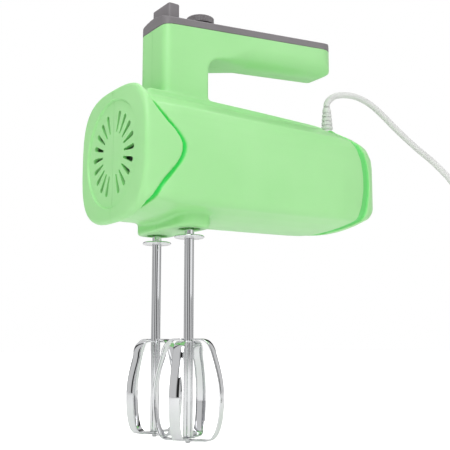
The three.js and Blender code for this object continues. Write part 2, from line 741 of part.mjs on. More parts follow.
/** Cast frame that ties the front bearings and both spindles together. */
function buildGearFrame() {
  const { front, rear, halfWidth, bottom, top, plate } = GEARBOX;
  const box = block([front, -halfWidth, bottom], [rear, halfWidth, top]);
  const inside = block(
    [front + plate + 1, -halfWidth - 1, bottom + plate],
    [rear - plate - 0.6, halfWidth + 1, top - plate],
  );
  const shaftBore = turnedX(ring(0, 6.06, 20, 70), 0, MOTOR_Z, 20);
  const spindleBores = [-1, 1].map((side) =>
    join(
      turnedZ(ring(0, 6.8, -20, 0), SPINDLE.x, side * SPINDLE.y, 24),
      turnedZ(ring(0, 5.5, 0, 20), SPINDLE.x, side * SPINDLE.y, 20),
    ),
  );
  piece('gear_frame', cut(box, inside, shaftBore, ...spindleBores), MATERIALS.zincSteel);
}

/** Worm wheel, moulded in one with the sleeve that the beater plugs into. */
function driveGear(side) {
  const outline = new THREE.Shape();
  for (let i = 0; i < GEAR.teeth; i += 1) {
    const start = (2 * Math.PI * i) / GEAR.teeth;
    const pitch = (2 * Math.PI) / GEAR.teeth;
    [[GEAR.root, 0], [GEAR.tip, 0.3], [GEAR.tip, 0.5], [GEAR.root, 0.8]].forEach(([r, share], k) => {
      const angle = start + share * pitch;
      if (i === 0 && k === 0) outline.moveTo(r * Math.cos(angle), r * Math.sin(angle));
      else outline.lineTo(r * Math.cos(angle), r * Math.sin(angle));
    });
  }
  outline.closePath();
  const wheel = prismZ(outline, GEAR.low, GEAR.high).translate([SPINDLE.x, side * SPINDLE.y, 0]);
  const sleeve = turnedZ(ring(0, 6.3, -45.5, GEAR.low + 1), SPINDLE.x, side * SPINDLE.y, 18);
  const hub = turnedZ(ring(0, 5.1, GEAR.low + 1, 6), SPINDLE.x, side * SPINDLE.y, 16);
  const bore = turnedZ(ring(0, BEATER.shaft + 0.08, -60, 20), SPINDLE.x, side * SPINDLE.y, 14);
  const mouth = turnedZ([[0, -50], [5, -50], [3, -42], [0, -42]], SPINDLE.x, side * SPINDLE.y, 14);
  const clipSeat = turnedZ(ring(0, 4.7, -24.9, -23.1), SPINDLE.x, side * SPINDLE.y, 14);
  return cut(join(wheel, sleeve, hub), bore, mouth, clipSeat);
}

function buildSpindles() {
  [['left', -1], ['right', 1]].forEach(([name, side]) => {
    piece(`${name}_drive_gear`, driveGear(side), MATERIALS.whiteNylon);
    const clip = [];
    for (let i = 0; i <= 6; i += 1) {
      const angle = (2 * Math.PI * i) / 6;
      clip.push([3.9 + 0.45 * Math.cos(angle), -24 + 0.45 * Math.sin(angle)]);
    }
    piece(`${name}_spindle_clip`, turnedZ(clip, SPINDLE.x, side * SPINDLE.y, 14), MATERIALS.zincSteel);
    const bush = turnedZ(ring(6.4, 8.6, -40, -34), SPINDLE.x, side * SPINDLE.y, 18);
    piece(`${name}_spindle_bush`, bush, MATERIALS.bronze);
  });
}

// ---------------------------------------------------------------- beaters
/** Half outline of a ribbon loop from its top end beside the shaft to the middle of its bottom. */
function loopOutline(inset) {
  const { loopTop, loopBottom, radius } = BEATER;
  const top = loopTop - inset;
  const bottom = loopBottom + inset;
  const wide = radius - inset;
  const path = new THREE.Path();
  path.moveTo(BEATER.shaft + CLEAR, top);
  path.lineTo(8, top);
  path.bezierCurveTo(13, top, 16, top - 3, 18.2 - inset, top - 10);
  path.bezierCurveTo(21.4 - inset, top - 20, wide, -143, wide, -153);
  path.bezierCurveTo(wide, -163, 21.5 - inset, bottom, 13, bottom);
  path.lineTo(0, bottom);
  return path.getPoints(5);
}

/** A ribbon loop: a steel strip bent to an egg shape, its two top ends meeting the shaft. */
function ribbonLoop(angle, inset) {
  const outer = loopOutline(inset);
  const inner = loopOutline(inset + BEATER.gauge);
  const mirrored = (points) => points.map((p) => new THREE.Vector2(-p.x, p.y)).reverse();
  const outerRun = [...outer, ...mirrored(outer).slice(1)];
  const innerRun = [...inner, ...mirrored(inner).slice(1)].reverse();
  const shape = new THREE.Shape([...outerRun, ...innerRun]);
  const strip = prismY(shape, -BEATER.strip / 2, BEATER.strip / 2, 1);
  const rivetHole = turnedZ(ring(0, 1.9, -190, -160), 0, 0, 14);
  return cut(strip, rivetHole).rotate([0, 0, angle]);
}

/** A beater: shaft with a riveted tip, collar disc and two crossed ribbon loops. */
function buildBeater(name, side, angle) {
  const { shaft, top, collar, collarZ, tip } = BEATER;
  const place = [SPINDLE.x, side * SPINDLE.y, 0];
  const shaftProfile = [
    [0, tip],
    [1.2, tip],
    [1.6, tip + 0.4],
    [1.6, -175.9],
    [shaft, -175.9],
    [shaft, -24.8],
    [2.6, -24.4],
    [2.6, -23.6],
    [shaft, -23.2],
    [shaft, top - 1.2],
    [2, top],
    [0, top],
  ];
  piece(`${name}_beater_shaft`, turnedZ(shaftProfile, 0, 0, 14).translate(place), MATERIALS.polishedSteel);
  const disc = ring(shaft + CLEAR, collar, collarZ - 0.8, collarZ + 0.8);
  piece(`${name}_beater_collar`, turnedZ(disc, 0, 0, 24).translate(place), MATERIALS.polishedSteel);
  const outerLoop = ribbonLoop(angle, 0).translate(place);
  piece(`${name}_beater_outer_loop`, outerLoop, MATERIALS.polishedSteel);
  const innerLoop = ribbonLoop(angle + 90, BEATER.gauge + CLEAR).translate(place);
  piece(`${name}_beater_inner_loop`, innerLoop, MATERIALS.polishedSteel);
}

// ---------------------------------------------------------------- mains lead
const COIL = { x: 352, y: -55, inner: 25, outer: 35.4, height: 10.6 };
const RELIEF_TOP = 62.5;
const PLUG = { x: 384, y: -22, thick: 13.7, length: 34, pinSpacing: 18.6 };

/** Route of the lead from its strain relief, over and down to the worktop, to the coil. */
const LEAD_ROUTE = [
  [183.5, 0, 63.1],
  [184, 0, 66.2],
  [187.6, 0, 70.6],
  [194.5, 0, 74.6],
  [205.6, -2, 76.4],
  [216.1, -4, 75.2],
  [225.2, -7, 70.6],
  [234, -10, 63.5],
  [244.6, -14, 53],
  [260.8, -20, 38.5],
  [276.1, -27, 25],
  [290, -34, 8],
  [299, -40, -14],
  [303, -45, -42],
  [304, -49, -75],
  [304, -53, -110],
  [304, -58, -140],
  [305, -65, -160],
  [310, -75, -172],
  [320, -86, -176.6],
  [334, -92.4, -176.9],
  [350, -94.2, -176.9],
];
/** Short end of the lead between its coil and the plug. */
const TAIL_ROUTE = [[386, -36, -176.7], [385.2, -30, -174.5], [384.2, -23, -172.6]];

function buildLead() {
  const x = CORD.x;
  const ribs = [];
  for (let i = 0; i < 5; i += 1) {
    const z = 43.4 + 3.6 * i;
    const radius = 4.45 - 0.3 * i;
    ribs.push([radius, z], [radius - 0.06, z + 2.4], [radius - 0.75, z + 2.5], [radius - 0.8, z + 3.5]);
  }
  const profile = [
    [0, 32],
    [6.2, 32],
    [6.2, 35.2],
    [4.2, 35.3],
    [4.2, 42.5],
    ...ribs,
    [3, RELIEF_TOP - 0.8],
    [2.7, RELIEF_TOP],
    [0, RELIEF_TOP],
  ];
  piece('strain_relief', turnedZ(profile, x, 0, 12), MATERIALS.whiteRubber);

  const route = new THREE.CatmullRomCurve3(LEAD_ROUTE.map((p) => new THREE.Vector3(...p)));
  piece('cord', wire(route, CORD.radius, 8, 36), MATERIALS.whiteRubber);
  const tail = new THREE.CatmullRomCurve3(TAIL_ROUTE.map((p) => new THREE.Vector3(...p)));
  piece('cord_tail', wire(tail, CORD.radius, 8, 3), MATERIALS.whiteRubber);

  const ringProfile = roundedRing(COIL.inner, COIL.outer, FLOOR, FLOOR + COIL.height);
  piece('cord_coil', turnedZ(ringProfile, COIL.x, COIL.y, 20), MATERIALS.whiteRubber);

  const clamp = block([x - 9, -4, 24], [x + 9, 4, 28]);
  piece('cord_clamp', clamp, MATERIALS.blackPlastic);
}

/** Closed profile of a ring with chamfered edges. */
function roundedRing(inner, outer, low, high) {
  const soft = 2;
  return [
    [inner + soft, low],
    [outer - soft, low],
    [outer, low + soft],
    [outer, high - soft],
    [outer - soft, high],
    [inner + soft, high],
    [inner, high - soft],
    [inner, low + soft],
    [inner + soft, low],
  ];
}

/** Flat two-pin plug lying on the worktop beside the coil. */
function buildPlug() {
  const { length, thick, pinSpacing } = PLUG;
  const [neck, shoulder] = [4.5, 13];
  const outline = new THREE.Shape();
  outline.moveTo(0, -neck);
  outline.lineTo(10, -neck - 1.5);
  outline.quadraticCurveTo(17, -neck - 2.5, 20, -shoulder + 0.5);
  outline.lineTo(length - 1.5, -shoulder);
  outline.lineTo(length, -shoulder + 1.5);
  outline.lineTo(length, shoulder - 1.5);
  outline.lineTo(length - 1.5, shoulder);
  outline.lineTo(20, shoulder - 0.5);
  outline.quadraticCurveTo(17, neck + 2.5, 10, neck + 1.5);
  outline.lineTo(0, neck);
  outline.closePath();
  const middle = FLOOR + thick / 2;
  const place = (body) => body.rotate([0, 0, 90]).translate([PLUG.x, PLUG.y, 0]);
  const sockets = [-1, 1].map((side) =>
    turnedX(ring(0, 2.3, length - 4, length + 5), (side * pinSpacing) / 2, middle, 14),
  );
  const body = cut(prismZ(outline, FLOOR, FLOOR + thick, 4), ...sockets);
  piece('plug_body', place(body), MATERIALS.whiteRubber);
  [['left', -1], ['right', 1]].forEach(([side, sign]) => {
    const profile = [
      [0, length - 3.7],
      [2, length - 3.7],
      [2, length + 17],
      [1.2, length + 19],
      [0, length + 19],
    ];
    const pin = turnedX(profile, (sign * pinSpacing) / 2, middle, 12);
    piece(`${side}_plug_pin`, place(pin), MATERIALS.polishedSteel);
  });
}

// ---------------------------------------------------------------- put together
buildHousing();
buildCover();
buildEjector();
buildControls();
buildStator();
buildRotor();
buildMotorFittings();
buildGearFrame();
buildSpindles();
buildBeater('left', -1, -55.5);
buildBeater('right', 1, 100.5);
buildLead();
buildPlug();

export default mixer;
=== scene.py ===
# %% [markdown]
# # A mint green hand mixer
# The mixer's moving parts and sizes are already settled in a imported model. This lesson loads that
# model as a fixed frame and makes the visible surface round it: moulded shells, a grey cover,
# polished beaters and a soft white lead. Every outline is drawn in millimetres from the centre of
# the nose's air vents, as a maker's drawing would be, and is moved into the frame at the end.

# %% Load the frame
import json
import math

import bmesh
import bpy
from mathutils import Matrix, Vector
from mathutils.bvhtree import BVHTree
from mathutils.geometry import interpolate_bezier


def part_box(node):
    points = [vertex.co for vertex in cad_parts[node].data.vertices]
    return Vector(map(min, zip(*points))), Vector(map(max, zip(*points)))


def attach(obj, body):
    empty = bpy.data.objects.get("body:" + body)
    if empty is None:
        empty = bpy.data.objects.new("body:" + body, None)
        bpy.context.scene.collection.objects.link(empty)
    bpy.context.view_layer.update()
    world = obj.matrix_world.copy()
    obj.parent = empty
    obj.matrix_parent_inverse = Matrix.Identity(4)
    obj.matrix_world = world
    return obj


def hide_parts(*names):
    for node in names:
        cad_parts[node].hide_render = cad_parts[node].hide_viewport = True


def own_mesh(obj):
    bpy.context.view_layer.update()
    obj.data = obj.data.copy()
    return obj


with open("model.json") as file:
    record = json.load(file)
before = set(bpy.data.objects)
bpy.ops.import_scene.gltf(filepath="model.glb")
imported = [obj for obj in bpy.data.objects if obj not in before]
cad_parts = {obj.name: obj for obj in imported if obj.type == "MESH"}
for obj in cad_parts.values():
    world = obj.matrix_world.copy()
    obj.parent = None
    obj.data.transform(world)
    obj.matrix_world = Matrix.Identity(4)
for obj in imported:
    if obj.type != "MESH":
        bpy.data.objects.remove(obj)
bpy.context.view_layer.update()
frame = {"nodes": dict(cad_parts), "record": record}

scene = bpy.context.scene
MM = 0.001
VENT_CENTRE = Vector((-115, 0, -88)) * MM  # the drawing's own origin, in the frame
DRAWING = Matrix.Translation(VENT_CENTRE) @ Matrix.Scale(MM, 4)
FLOOR_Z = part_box("left_beater_shaft")[0].z


def at(x, y, z):
    """A place in drawing millimetres, as a point of the frame."""
    return DRAWING @ Vector((x, y, z))


# %% [markdown]
# ## The camera
# The mixer is seen from its left, from in front and from a little below its body, as if the
# camera stood near the worktop. A long lens keeps the beaters almost parallel. The lens is not
# shifted, so any other view keeps the mixer in the middle.

# %% Camera
camera = bpy.data.objects.new("camera", bpy.data.cameras.new("camera"))
scene.collection.objects.link(camera)
camera.location = (-0.33601, -0.44049, -0.20764)
camera.rotation_euler = (math.radians(90 + 8.629), 0, math.radians(-34.941))
camera.data.sensor_width = 36
camera.data.lens = 62.855
scene.camera = camera
print("camera stands", round((camera.location.z - FLOOR_Z) / MM), "mm above the worktop")

# %% [markdown]
# ## The worktop and the studio
# A product picture of a pale object needs a paler ground. The worktop is plain and wide. The room
# is white to the eye, but polished steel only looks like steel when it has something dark to
# mirror, so what the surfaces see is a white room with a few dark upright panels in it.

# %% Worktop, room and lights


def node(tree, kind, values=(), links=(), **settings):
    """Adds one shader node, with its settings, its input values and the links into it."""
    made = tree.nodes.new(kind)
    for name, value in settings.items():
        setattr(made, name, value)
    for name, value in dict(values).items():
        made.inputs[name].default_value = value
    for name, source in dict(links).items():
        tree.links.new(source, made.inputs[name])
    return made


def colour(hex_code):
    """An sRGB hex colour as the linear colour that a shader takes."""
    parts = [int(hex_code[i : i + 2], 16) / 255 for i in (1, 3, 5)]
    return (*[c / 12.92 if c <= 0.04045 else ((c + 0.055) / 1.055) ** 2.4 for c in parts], 1)


def blank_material(name):
    """A new material with only its output, ready for nodes."""
    material = bpy.data.materials.new(name)
    material.use_nodes = True
    material.node_tree.nodes.clear()
    return material, material.node_tree


def worktop_material():
    """Matt white laminate, lit up for the camera as if it were a light table, with a faint mottle."""
    material, tree = blank_material("white_laminate")
    place = node(tree, "ShaderNodeTexCoord")
    mottle = node(tree, "ShaderNodeTexNoise", {"Scale": 6, "Detail": 3}, {"Vector": place.outputs["Object"]})
    tone = node(tree, "ShaderNodeValToRGB", links={"Fac": mottle.outputs["Fac"]})
    tone.color_ramp.elements[0].color = colour("#F6F6F5")
    tone.color_ramp.elements[1].color = colour("#FBFBFA")
    seen = node(tree, "ShaderNodeLightPath")
    glow = node(tree, "ShaderNodeMapRange", {"To Min": 0.12}, {"Value": seen.outputs["Is Camera Ray"]})
    shader = node(
        tree,
        "ShaderNodeBsdfPrincipled",
        {"Roughness": 0.8, "Emission Color": (1, 1, 1, 1)},
        {"Base Color": tone.outputs["Color"], "Emission Strength": glow.outputs["Result"]},
    )
    node(tree, "ShaderNodeOutputMaterial", links={"Surface": shader.outputs["BSDF"]})
    return material


bpy.ops.mesh.primitive_plane_add(size=8, location=(0.5, 1.0, FLOOR_Z - 0.0002))
worktop = bpy.context.object
worktop.name = "worktop"
worktop.data.materials.append(worktop_material())

world = bpy.data.worlds.new("studio")
scene.world = world
world.use_nodes = True
world.node_tree.nodes.clear()
sky = world.node_tree
direction = node(sky, "ShaderNodeTexCoord")
panels = node(
    sky,
    "ShaderNodeTexGradient",
    links={"Vector": direction.outputs["Generated"]},
    gradient_type="RADIAL",
)
bands = node(sky, "ShaderNodeValToRGB", links={"Fac": panels.outputs["Fac"]})
# Each dark panel's direction, as a share of a full turn, and half its breadth.
DARK_PANELS = [(0.08, 0.03), (0.2, 0.035), (0.33, 0.02), (0.47, 0.03)]
DARK_PANELS += [(0.62, 0.04), (0.8, 0.03), (0.93, 0.02)]
bands.color_ramp.elements[0].color = (1.2, 1.2, 1.2, 1)
bands.color_ramp.elements[1].color = (1.2, 1.2, 1.2, 1)
for middle, half in DARK_PANELS:
    for position, grey in ((-half, 1.2), (-half / 2, 0.03), (half / 2, 0.03), (half, 1.2)):
        stop = bands.color_ramp.elements.new(middle + position)
        stop.color = (grey, grey, grey, 1)
room = node(sky, "ShaderNodeBackground", {"Strength": 0.58}, {"Color": bands.outputs["Color"]})
paper = node(sky, "ShaderNodeBackground", {"Color": (1, 1, 1, 1), "Strength": 1.0})
seen = node(sky, "ShaderNodeLightPath")
mixed = node(sky, "ShaderNodeMixShader", links={"Fac": seen.outputs["Is Camera Ray"]})
sky.links.new(room.outputs["Background"], mixed.inputs[1])
sky.links.new(paper.outputs["Background"], mixed.inputs[2])
node(sky, "ShaderNodeOutputWorld", links={"Surface": mixed.outputs["Shader"]})
scene.view_settings.view_transform = "Standard"

SOFTBOXES = [
    ("key", (-0.9, -0.9, 0.9), 1.1, 12.5),
    ("side", (0.5, -1.3, 0.35), 0.9, 1.8),
    ("top", (0.1, 0.2, 1.3), 1.2, 7),
]
for name, place, size, power in SOFTBOXES:
    lamp = bpy.data.lights.new(name, "AREA")
    lamp.size, lamp.energy = size, power
    softbox = bpy.data.objects.new(name, lamp)
    scene.collection.objects.link(softbox)
    softbox.location = place
    softbox.rotation_euler = (-Vector(place)).to_track_quat("-Z", "Y").to_euler()
print("softboxes:", [name for name, *_ in SOFTBOXES])

# %% [markdown]
# ## Materials
# Each finish starts from what the real one is. Moulded plastic has a fine, even sheen and a trace
# of unevenness from the tool. Rolled and polished steel mirrors the room and carries hair-fine
# lines. The grain of each pattern is worked out from a real size: a noise scale of 1000 divided by
# a size in millimetres gives features of that size.

# %% Plastics


def per_mm(size):
    """The texture scale that gives features of a size in millimetres."""
    return 1 / (size * MM)


def moulded(name, light, dark, roughness, grain, bump, subsurface=0.0, deep=None, corner_shade=None):
    """Injection moulded plastic: close tones, an even sheen and fine grain, with painted shade in a deeper
    colour in corners and channels.
    """
    material, tree = blank_material(name)
    place = node(tree, "ShaderNodeTexCoord").outputs["Object"]
    clouds = node(tree, "ShaderNodeTexNoise", {"Scale": per_mm(55), "Detail": 2}, {"Vector": place})
    tone = node(tree, "ShaderNodeValToRGB", links={"Fac": clouds.outputs["Fac"]})
    tone.color_ramp.elements[0].position = 0.35
    tone.color_ramp.elements[0].color = colour(dark)
    tone.color_ramp.elements[1].position = 0.65
    tone.color_ramp.elements[1].color = colour(light)
    speckle = node(tree, "ShaderNodeTexNoise", {"Scale": per_mm(grain), "Detail": 3}, {"Vector": place})
    sheen = node(
        tree,
        "ShaderNodeMapRange",
        {"To Min": roughness - 0.05, "To Max": roughness + 0.07},
        {"Value": speckle.outputs["Fac"]},
    )
    relief = node(
        tree,
        "ShaderNodeBump",
        {"Strength": bump, "Distance": 0.00005},
        {"Height": speckle.outputs["Fac"]},
    )
    skin = tone
    if deep:
        open_sky = node(tree, "ShaderNodeAmbientOcclusion", {"Distance": 11 * MM}, samples=8)
        closed = node(
            tree,
            "ShaderNodeMapRange",
            {"From Min": 1.0, "From Max": 0.35, "To Max": 0.55},
            {"Value": open_sky.outputs["AO"]},
        )
        # Painted shade: a deeper green mixed in where ambient occlusion finds walls close by, in inner
        # corners.
        corner = node(
            tree,
            "ShaderNodeMixRGB",
            {"Color2": colour(corner_shade)},
            {"Fac": closed.outputs["Result"], "Color1": tone.outputs["Color"]},
        )
        # Painted shade: a deep green along the channels that the recess attribute marks.
        recess = node(tree, "ShaderNodeAttribute", attribute_name="recess")
        skin = node(
            tree,
            "ShaderNodeMixRGB",
            {"Color2": colour(deep)},
            {"Fac": recess.outputs["Fac"], "Color1": corner.outputs["Color"]},
        )
    shader = node(
        tree,
        "ShaderNodeBsdfPrincipled",
        {
            "IOR": 1.5,
            "Subsurface Weight": subsurface,
            "Subsurface Radius": (0.6, 1.0, 0.6),
            "Subsurface Scale": 0.003,
        },
        {
            "Base Color": skin.outputs["Color"],
            "Roughness": sheen.outputs["Result"],
            "Normal": relief.outputs["Normal"],
        },
    )
    node(tree, "ShaderNodeOutputMaterial", links={"Surface": shader.outputs["BSDF"]})
    return material


# Glossy ABS in mint, slightly see-through. Painted shade in a deep, strong green lies along its groove and
# the band before the tail, and a softer painted shade in its inner corners.
mint_abs = moulded("mint_abs", "#A8E59E", "#A2E198", 0.34, 0.8, 0.05, 0.2, "#1FD650", "#74DA6C")
# Warm grey ABS with the spark-eroded grain of a grip surface, drawn coarser than it is so it shows.
grey_abs = moulded("grey_abs", "#807C7F", "#787477", 0.46, 0.35, 0.15)
# Black glass-filled nylon: dull, with a coarser grain.
black_nylon = moulded("black_glass_filled_nylon", "#2B2D2F", "#232527", 0.5, 0.5, 0.2)
# Natural nylon: milky, waxy and slightly see-through.
white_nylon = moulded("natural_nylon", "#ECE8DC", "#E3DECF", 0.45, 0.9, 0.1, 0.2)
# Soft white PVC of a lead: matt with a faint bloom, and hardly any grain.
white_pvc = moulded("white_pvc", "#DEDEDD", "#D6D6D5", 0.5, 1.2, 0.02)
# Pressed graphite of a carbon brush: black and dusty.
graphite = moulded("pressed_graphite", "#303031", "#262627", 0.75, 0.3, 0.5)
# Green lacquer over glass fibre on a circuit board.
board_lacquer = moulded("green_board_lacquer", "#2F7A48", "#276B3E", 0.4, 1.5, 0.1)

# %% [markdown]
# ## Metals
# A metal has no colour of its own under the gloss: it tints what it mirrors. Its making shows in
# fine lines, along a drawn rod or round a turned one, so the noise is stretched one way.

# %% Metals


def worked_metal(name, tone, roughness, line, stretch, bump):
    """Bare or plated metal whose fine lines are stretched along the way it was worked."""
    material, tree = blank_material(name)
    place = node(tree, "ShaderNodeTexCoord").outputs["Object"]
    drawn = node(tree, "ShaderNodeMapping", {"Scale": stretch}, {"Vector": place})
    lines = node(
        tree,
        "ShaderNodeTexNoise",
        {"Scale": per_mm(line), "Detail": 4},
        {"Vector": drawn.outputs["Vector"]},
    )
    dull = node(
        tree,
        "ShaderNodeMapRange",
        {"To Min": roughness * 0.7, "To Max": roughness * 1.4},
        {"Value": lines.outputs["Fac"]},
    )
    relief = node(
        tree,
        "ShaderNodeBump",
        {"Strength": bump, "Distance": 0.00002},
        {"Height": lines.outputs["Fac"]},
    )
    stain = node(tree, "ShaderNodeTexNoise", {"Scale": per_mm(20)}, {"Vector": place})
    tint = node(tree, "ShaderNodeValToRGB", links={"Fac": stain.outputs["Fac"]})
    tint.color_ramp.elements[0].color = tuple(0.9 * c for c in colour(tone)[:3]) + (1,)
    tint.color_ramp.elements[1].color = colour(tone)
    shader = node(
        tree,
        "ShaderNodeBsdfPrincipled",
        {"Metallic": 1.0},
        {
            "Base Color": tint.outputs["Color"],
            "Roughness": dull.outputs["Result"],
            "Normal": relief.outputs["Normal"],
        },
    )
    node(tree, "ShaderNodeOutputMaterial", links={"Surface": shader.outputs["BSDF"]})
    return material


# Chrome plated steel of the beaters: a mirror with lines too fine to see one by one.
chrome = worked_metal("chromed_steel", "#E2E3E5", 0.05, 0.6, (1, 1, 0.05), 0.02)
# Zinc plated steel: bluish, softly clouded.
zinc = worked_metal("zinc_plated_steel", "#B4B7B8", 0.34, 0.5, (1, 1, 1), 0.2)
# Stacked steel laminations: dull sheets, 0.5 mm thick, that show as lines across the stack.
laminations = worked_metal("steel_laminations", "#7C7D80", 0.5, 0.5, (1, 0.05, 0.05), 0.8)
# Enamelled copper wire, wound side by side: lines of 0.6 mm.
copper_wire = worked_metal("enamelled_copper_wire", "#B4683A", 0.3, 0.6, (1, 0.1, 0.4), 0.9)
# Sintered bronze: porous and dull.
bronze = worked_metal("sintered_bronze", "#A07A45", 0.5, 0.4, (1, 1, 1), 0.6)

FINISHES = {
    "mint_plastic": mint_abs,
    "grey_plastic": grey_abs,
    "black_plastic": black_nylon,
    "white_nylon": white_nylon,
    "polished_steel": chrome,
    "zinc_steel": zinc,
    "core_steel": laminations,
    "copper": copper_wire,
    "bronze": bronze,
    "carbon": graphite,
    "board": board_lacquer,
    "white_rubber": white_pvc,
}
for part in frame["record"]["subparts"]:
    cad_node = frame["nodes"][part["node"]]
    cad_node.data.materials.clear()
    cad_node.data.materials.append(FINISHES[part["material_slot"]])
print(len(frame["nodes"]), "nodes have a finish")

# %% [markdown]
# ## The lead
# A mixer's lead is about 1.2 m of soft 5 mm cable. It leaves its guard straight up, bends over
# under its own weight and runs down to the worktop. The length that isn't in use is wound into a
# flat coil of a few turns, 12 cable thicknesses across, with the plug beside it. The route is one
# smooth curve through listed points, and a loop lays the turns.

# %% Lead
LEAD_RADIUS = 2.5
LEAD_ROUTE = [
    (183.5, 0, 63.1),
    (184, 0, 66.2),
    (187.6, 0, 70.6),
    (194.5, 0, 74.6),
    (205.6, -2, 76.4),
    (216.1, -4, 75.2),
    (225.2, -7, 70.6),
    (234, -10, 63.5),
    (244.6, -14, 53),
    (260.8, -20, 38.5),
    (276.1, -27, 25),
    (290, -34, 8),
    (299, -40, -14),
    (303, -45, -42),
    (304, -49, -75),
    (304, -53, -110),
    (304, -58, -140),
    (305, -65, -160),
    (310, -75, -172),
    (320, -86, -176.6),
    (334, -92.4, -176.9),
]
TAIL_ROUTE = [(386, -36, -176.7), (385.2, -30, -174.5), (384.2, -23, -172.6)]
COIL_CENTRE = (352, -55)
# Each turn's radius and height: two side by side on the worktop, then two on top of them.
COIL_TURNS = [(32.8, -176.9), (27.6, -176.9), (27.6, -171.6), (32.8, -171.6)]
POINTS_PER_TURN = 16


def coil_points():
    """The coil's turns, from where the lead arrives below its centre to where it leaves on the right."""
    points = []
    arrival_radius = 39.2
    total = len(COIL_TURNS) * POINTS_PER_TURN + POINTS_PER_TURN // 4
    for i in range(total + 1):
        angle = -math.pi / 2 + 2 * math.pi * i / POINTS_PER_TURN
        turn = min(i // POINTS_PER_TURN, len(COIL_TURNS) - 1)
        before = COIL_TURNS[turn - 1] if turn else (arrival_radius, COIL_TURNS[0][1])
        into_turn = (i - turn * POINTS_PER_TURN) / (0.3 * POINTS_PER_TURN)
        share = min(1.0, into_turn)
        share = share * share * (3 - 2 * share)
        radius, height = (a + (b - a) * share for a, b in zip(before, COIL_TURNS[turn]))
        x = COIL_CENTRE[0] + radius * math.cos(angle)
        y = COIL_CENTRE[1] + radius * math.sin(angle)
        points.append((x, y, height))
    return points


lead_points = [at(*p) for p in (*LEAD_ROUTE, *coil_points(), *TAIL_ROUTE)]
lead_curve = bpy.data.curves.new("lead", "CURVE")
lead_curve.dimensions = "3D"
lead_curve.bevel_depth = LEAD_RADIUS * MM
lead_curve.bevel_resolution = 5
lead_curve.resolution_u = 5
lead_curve.use_fill_caps = True
line = lead_curve.splines.new("BEZIER")
line.bezier_points.add(len(lead_points) - 1)
for knot, place in zip(line.bezier_points, lead_points):
    knot.co = place
    knot.handle_left_type = knot.handle_right_type = "AUTO"
lead = bpy.data.objects.new("lead", lead_curve)
scene.collection.objects.link(lead)
lead_curve.materials.append(white_pvc)
lead_length = line.calc_length()
print("lead length in mm:", round(lead_length / MM))

# %% [markdown]
# ## Tools for modelling
# A few short helpers do what a modeller does by hand: draw an outline and push it into a solid,
# turn a profile round an axis, and join or cut one solid with another. Everything is drawn in
# millimetres, and `make` moves it into the frame.

# %% Modelling helpers


def make(name, bm, material):
    """Turns a drawing in millimetres into an object in the frame, with its normals outwards."""
    bmesh.ops.remove_doubles(bm, verts=bm.verts, dist=0.001)
    bmesh.ops.recalc_face_normals(bm, faces=bm.faces)
    bm.transform(DRAWING)
    mesh = bpy.data.meshes.new(name)
    bm.to_mesh(mesh)
    bm.free()
    mesh.materials.append(material)
    piece = bpy.data.objects.new(name, mesh)
    scene.collection.objects.link(piece)
    return piece


def new_verts(result):
    """The vertices among the geometry that an operator returns."""
    return [g for g in result["geom"] if isinstance(g, bmesh.types.BMVert)]


def prism(points, along):
    """A closed outline of drawing points, pushed along a direction."""
    bm = bmesh.new()
    face = bm.faces.new([bm.verts.new(p) for p in points])
    pushed = bmesh.ops.extrude_face_region(bm, geom=[face])
    bmesh.ops.translate(bm, verts=new_verts(pushed), vec=Vector(along))
    bmesh.ops.recalc_face_normals(bm, faces=bm.faces)
    return bm


def side_prism(outline, y0, y1):
    """A side outline, in x and z, pushed across the width."""
    return prism([(x, y0, z) for x, z in outline], (0, y1 - y0, 0))


def arc(centre, radii, start, end, steps):
    """Points on an arc or an ellipse, with its angles in degrees."""
    angles = [math.radians(start + (end - start) * i / steps) for i in range(steps + 1)]
    return [(centre[0] + radii[0] * math.cos(a), centre[1] + radii[1] * math.sin(a)) for a in angles]


def bezier(*corners, steps=10):
    """Points on a Bezier curve with four corner points, without its first."""
    return [(p.x, p.y) for p in interpolate_bezier(*[Vector((*c, 0)) for c in corners], steps)][1:]


def rounded_rectangle(low, high, radius, steps=8):
    """A rectangle with round corners between two corners of a drawing plane."""
    (x0, y0), (x1, y1) = low, high
    corners = [(x1 - radius, y0 + radius), (x1 - radius, y1 - radius)]
    corners += [(x0 + radius, y1 - radius), (x0 + radius, y0 + radius)]
    points = []
    for i, corner in enumerate(corners):
        points += arc(corner, (radius, radius), 90 * i - 90, 90 * i, steps)
    return points


def turned(profile, centre, axis="Z", steps=48):
    """A profile of (radius, height) points, turned round an upright or a crosswise axis."""
    bm = bmesh.new()
    verts = [bm.verts.new((r, 0, h)) for r, h in profile]
    edges = [bm.edges.new(pair) for pair in zip(verts, verts[1:])]
    bmesh.ops.spin(
        bm,
        geom=[*verts, *edges],
        cent=(0, 0, 0),
        axis=(0, 0, 1),
        angle=2 * math.pi,
        steps=steps,
        use_merge=True,
    )
    bmesh.ops.remove_doubles(bm, verts=bm.verts, dist=0.001)
    turn = {"X": Matrix.Rotation(math.pi / 2, 4, "Y"), "Y": Matrix.Rotation(-math.pi / 2, 4, "X")}
    bm.transform(Matrix.Translation(centre) @ turn.get(axis, Matrix.Identity(4)))
    return bm


def together(*drawings):
    """Several separate drawings as one."""
    whole = bmesh.new()
    for drawing in drawings:
        spare = bpy.data.meshes.new("spare")
        drawing.to_mesh(spare)
        whole.from_mesh(spare)
        drawing.free()
        bpy.data.meshes.remove(spare)
    return whole


def settle(piece):
    """Writes a piece's modifiers into its mesh."""
    graph = bpy.context.evaluated_depsgraph_get()
    done = bpy.data.meshes.new_from_object(piece.evaluated_get(graph))
    old = piece.data
    piece.modifiers.clear()
    piece.data = done
    bpy.data.meshes.remove(old)
    done.name = piece.name


def combine(piece, tool, operation):
    """Joins a piece with a tool, cuts it or keeps what they share. The tool is used up."""
    step = piece.modifiers.new("combine", "BOOLEAN")
    step.operation, step.solver, step.object = operation, "MANIFOLD", tool
    settle(piece)
    spent = tool.data
    bpy.data.objects.remove(tool)
    bpy.data.meshes.remove(spent)


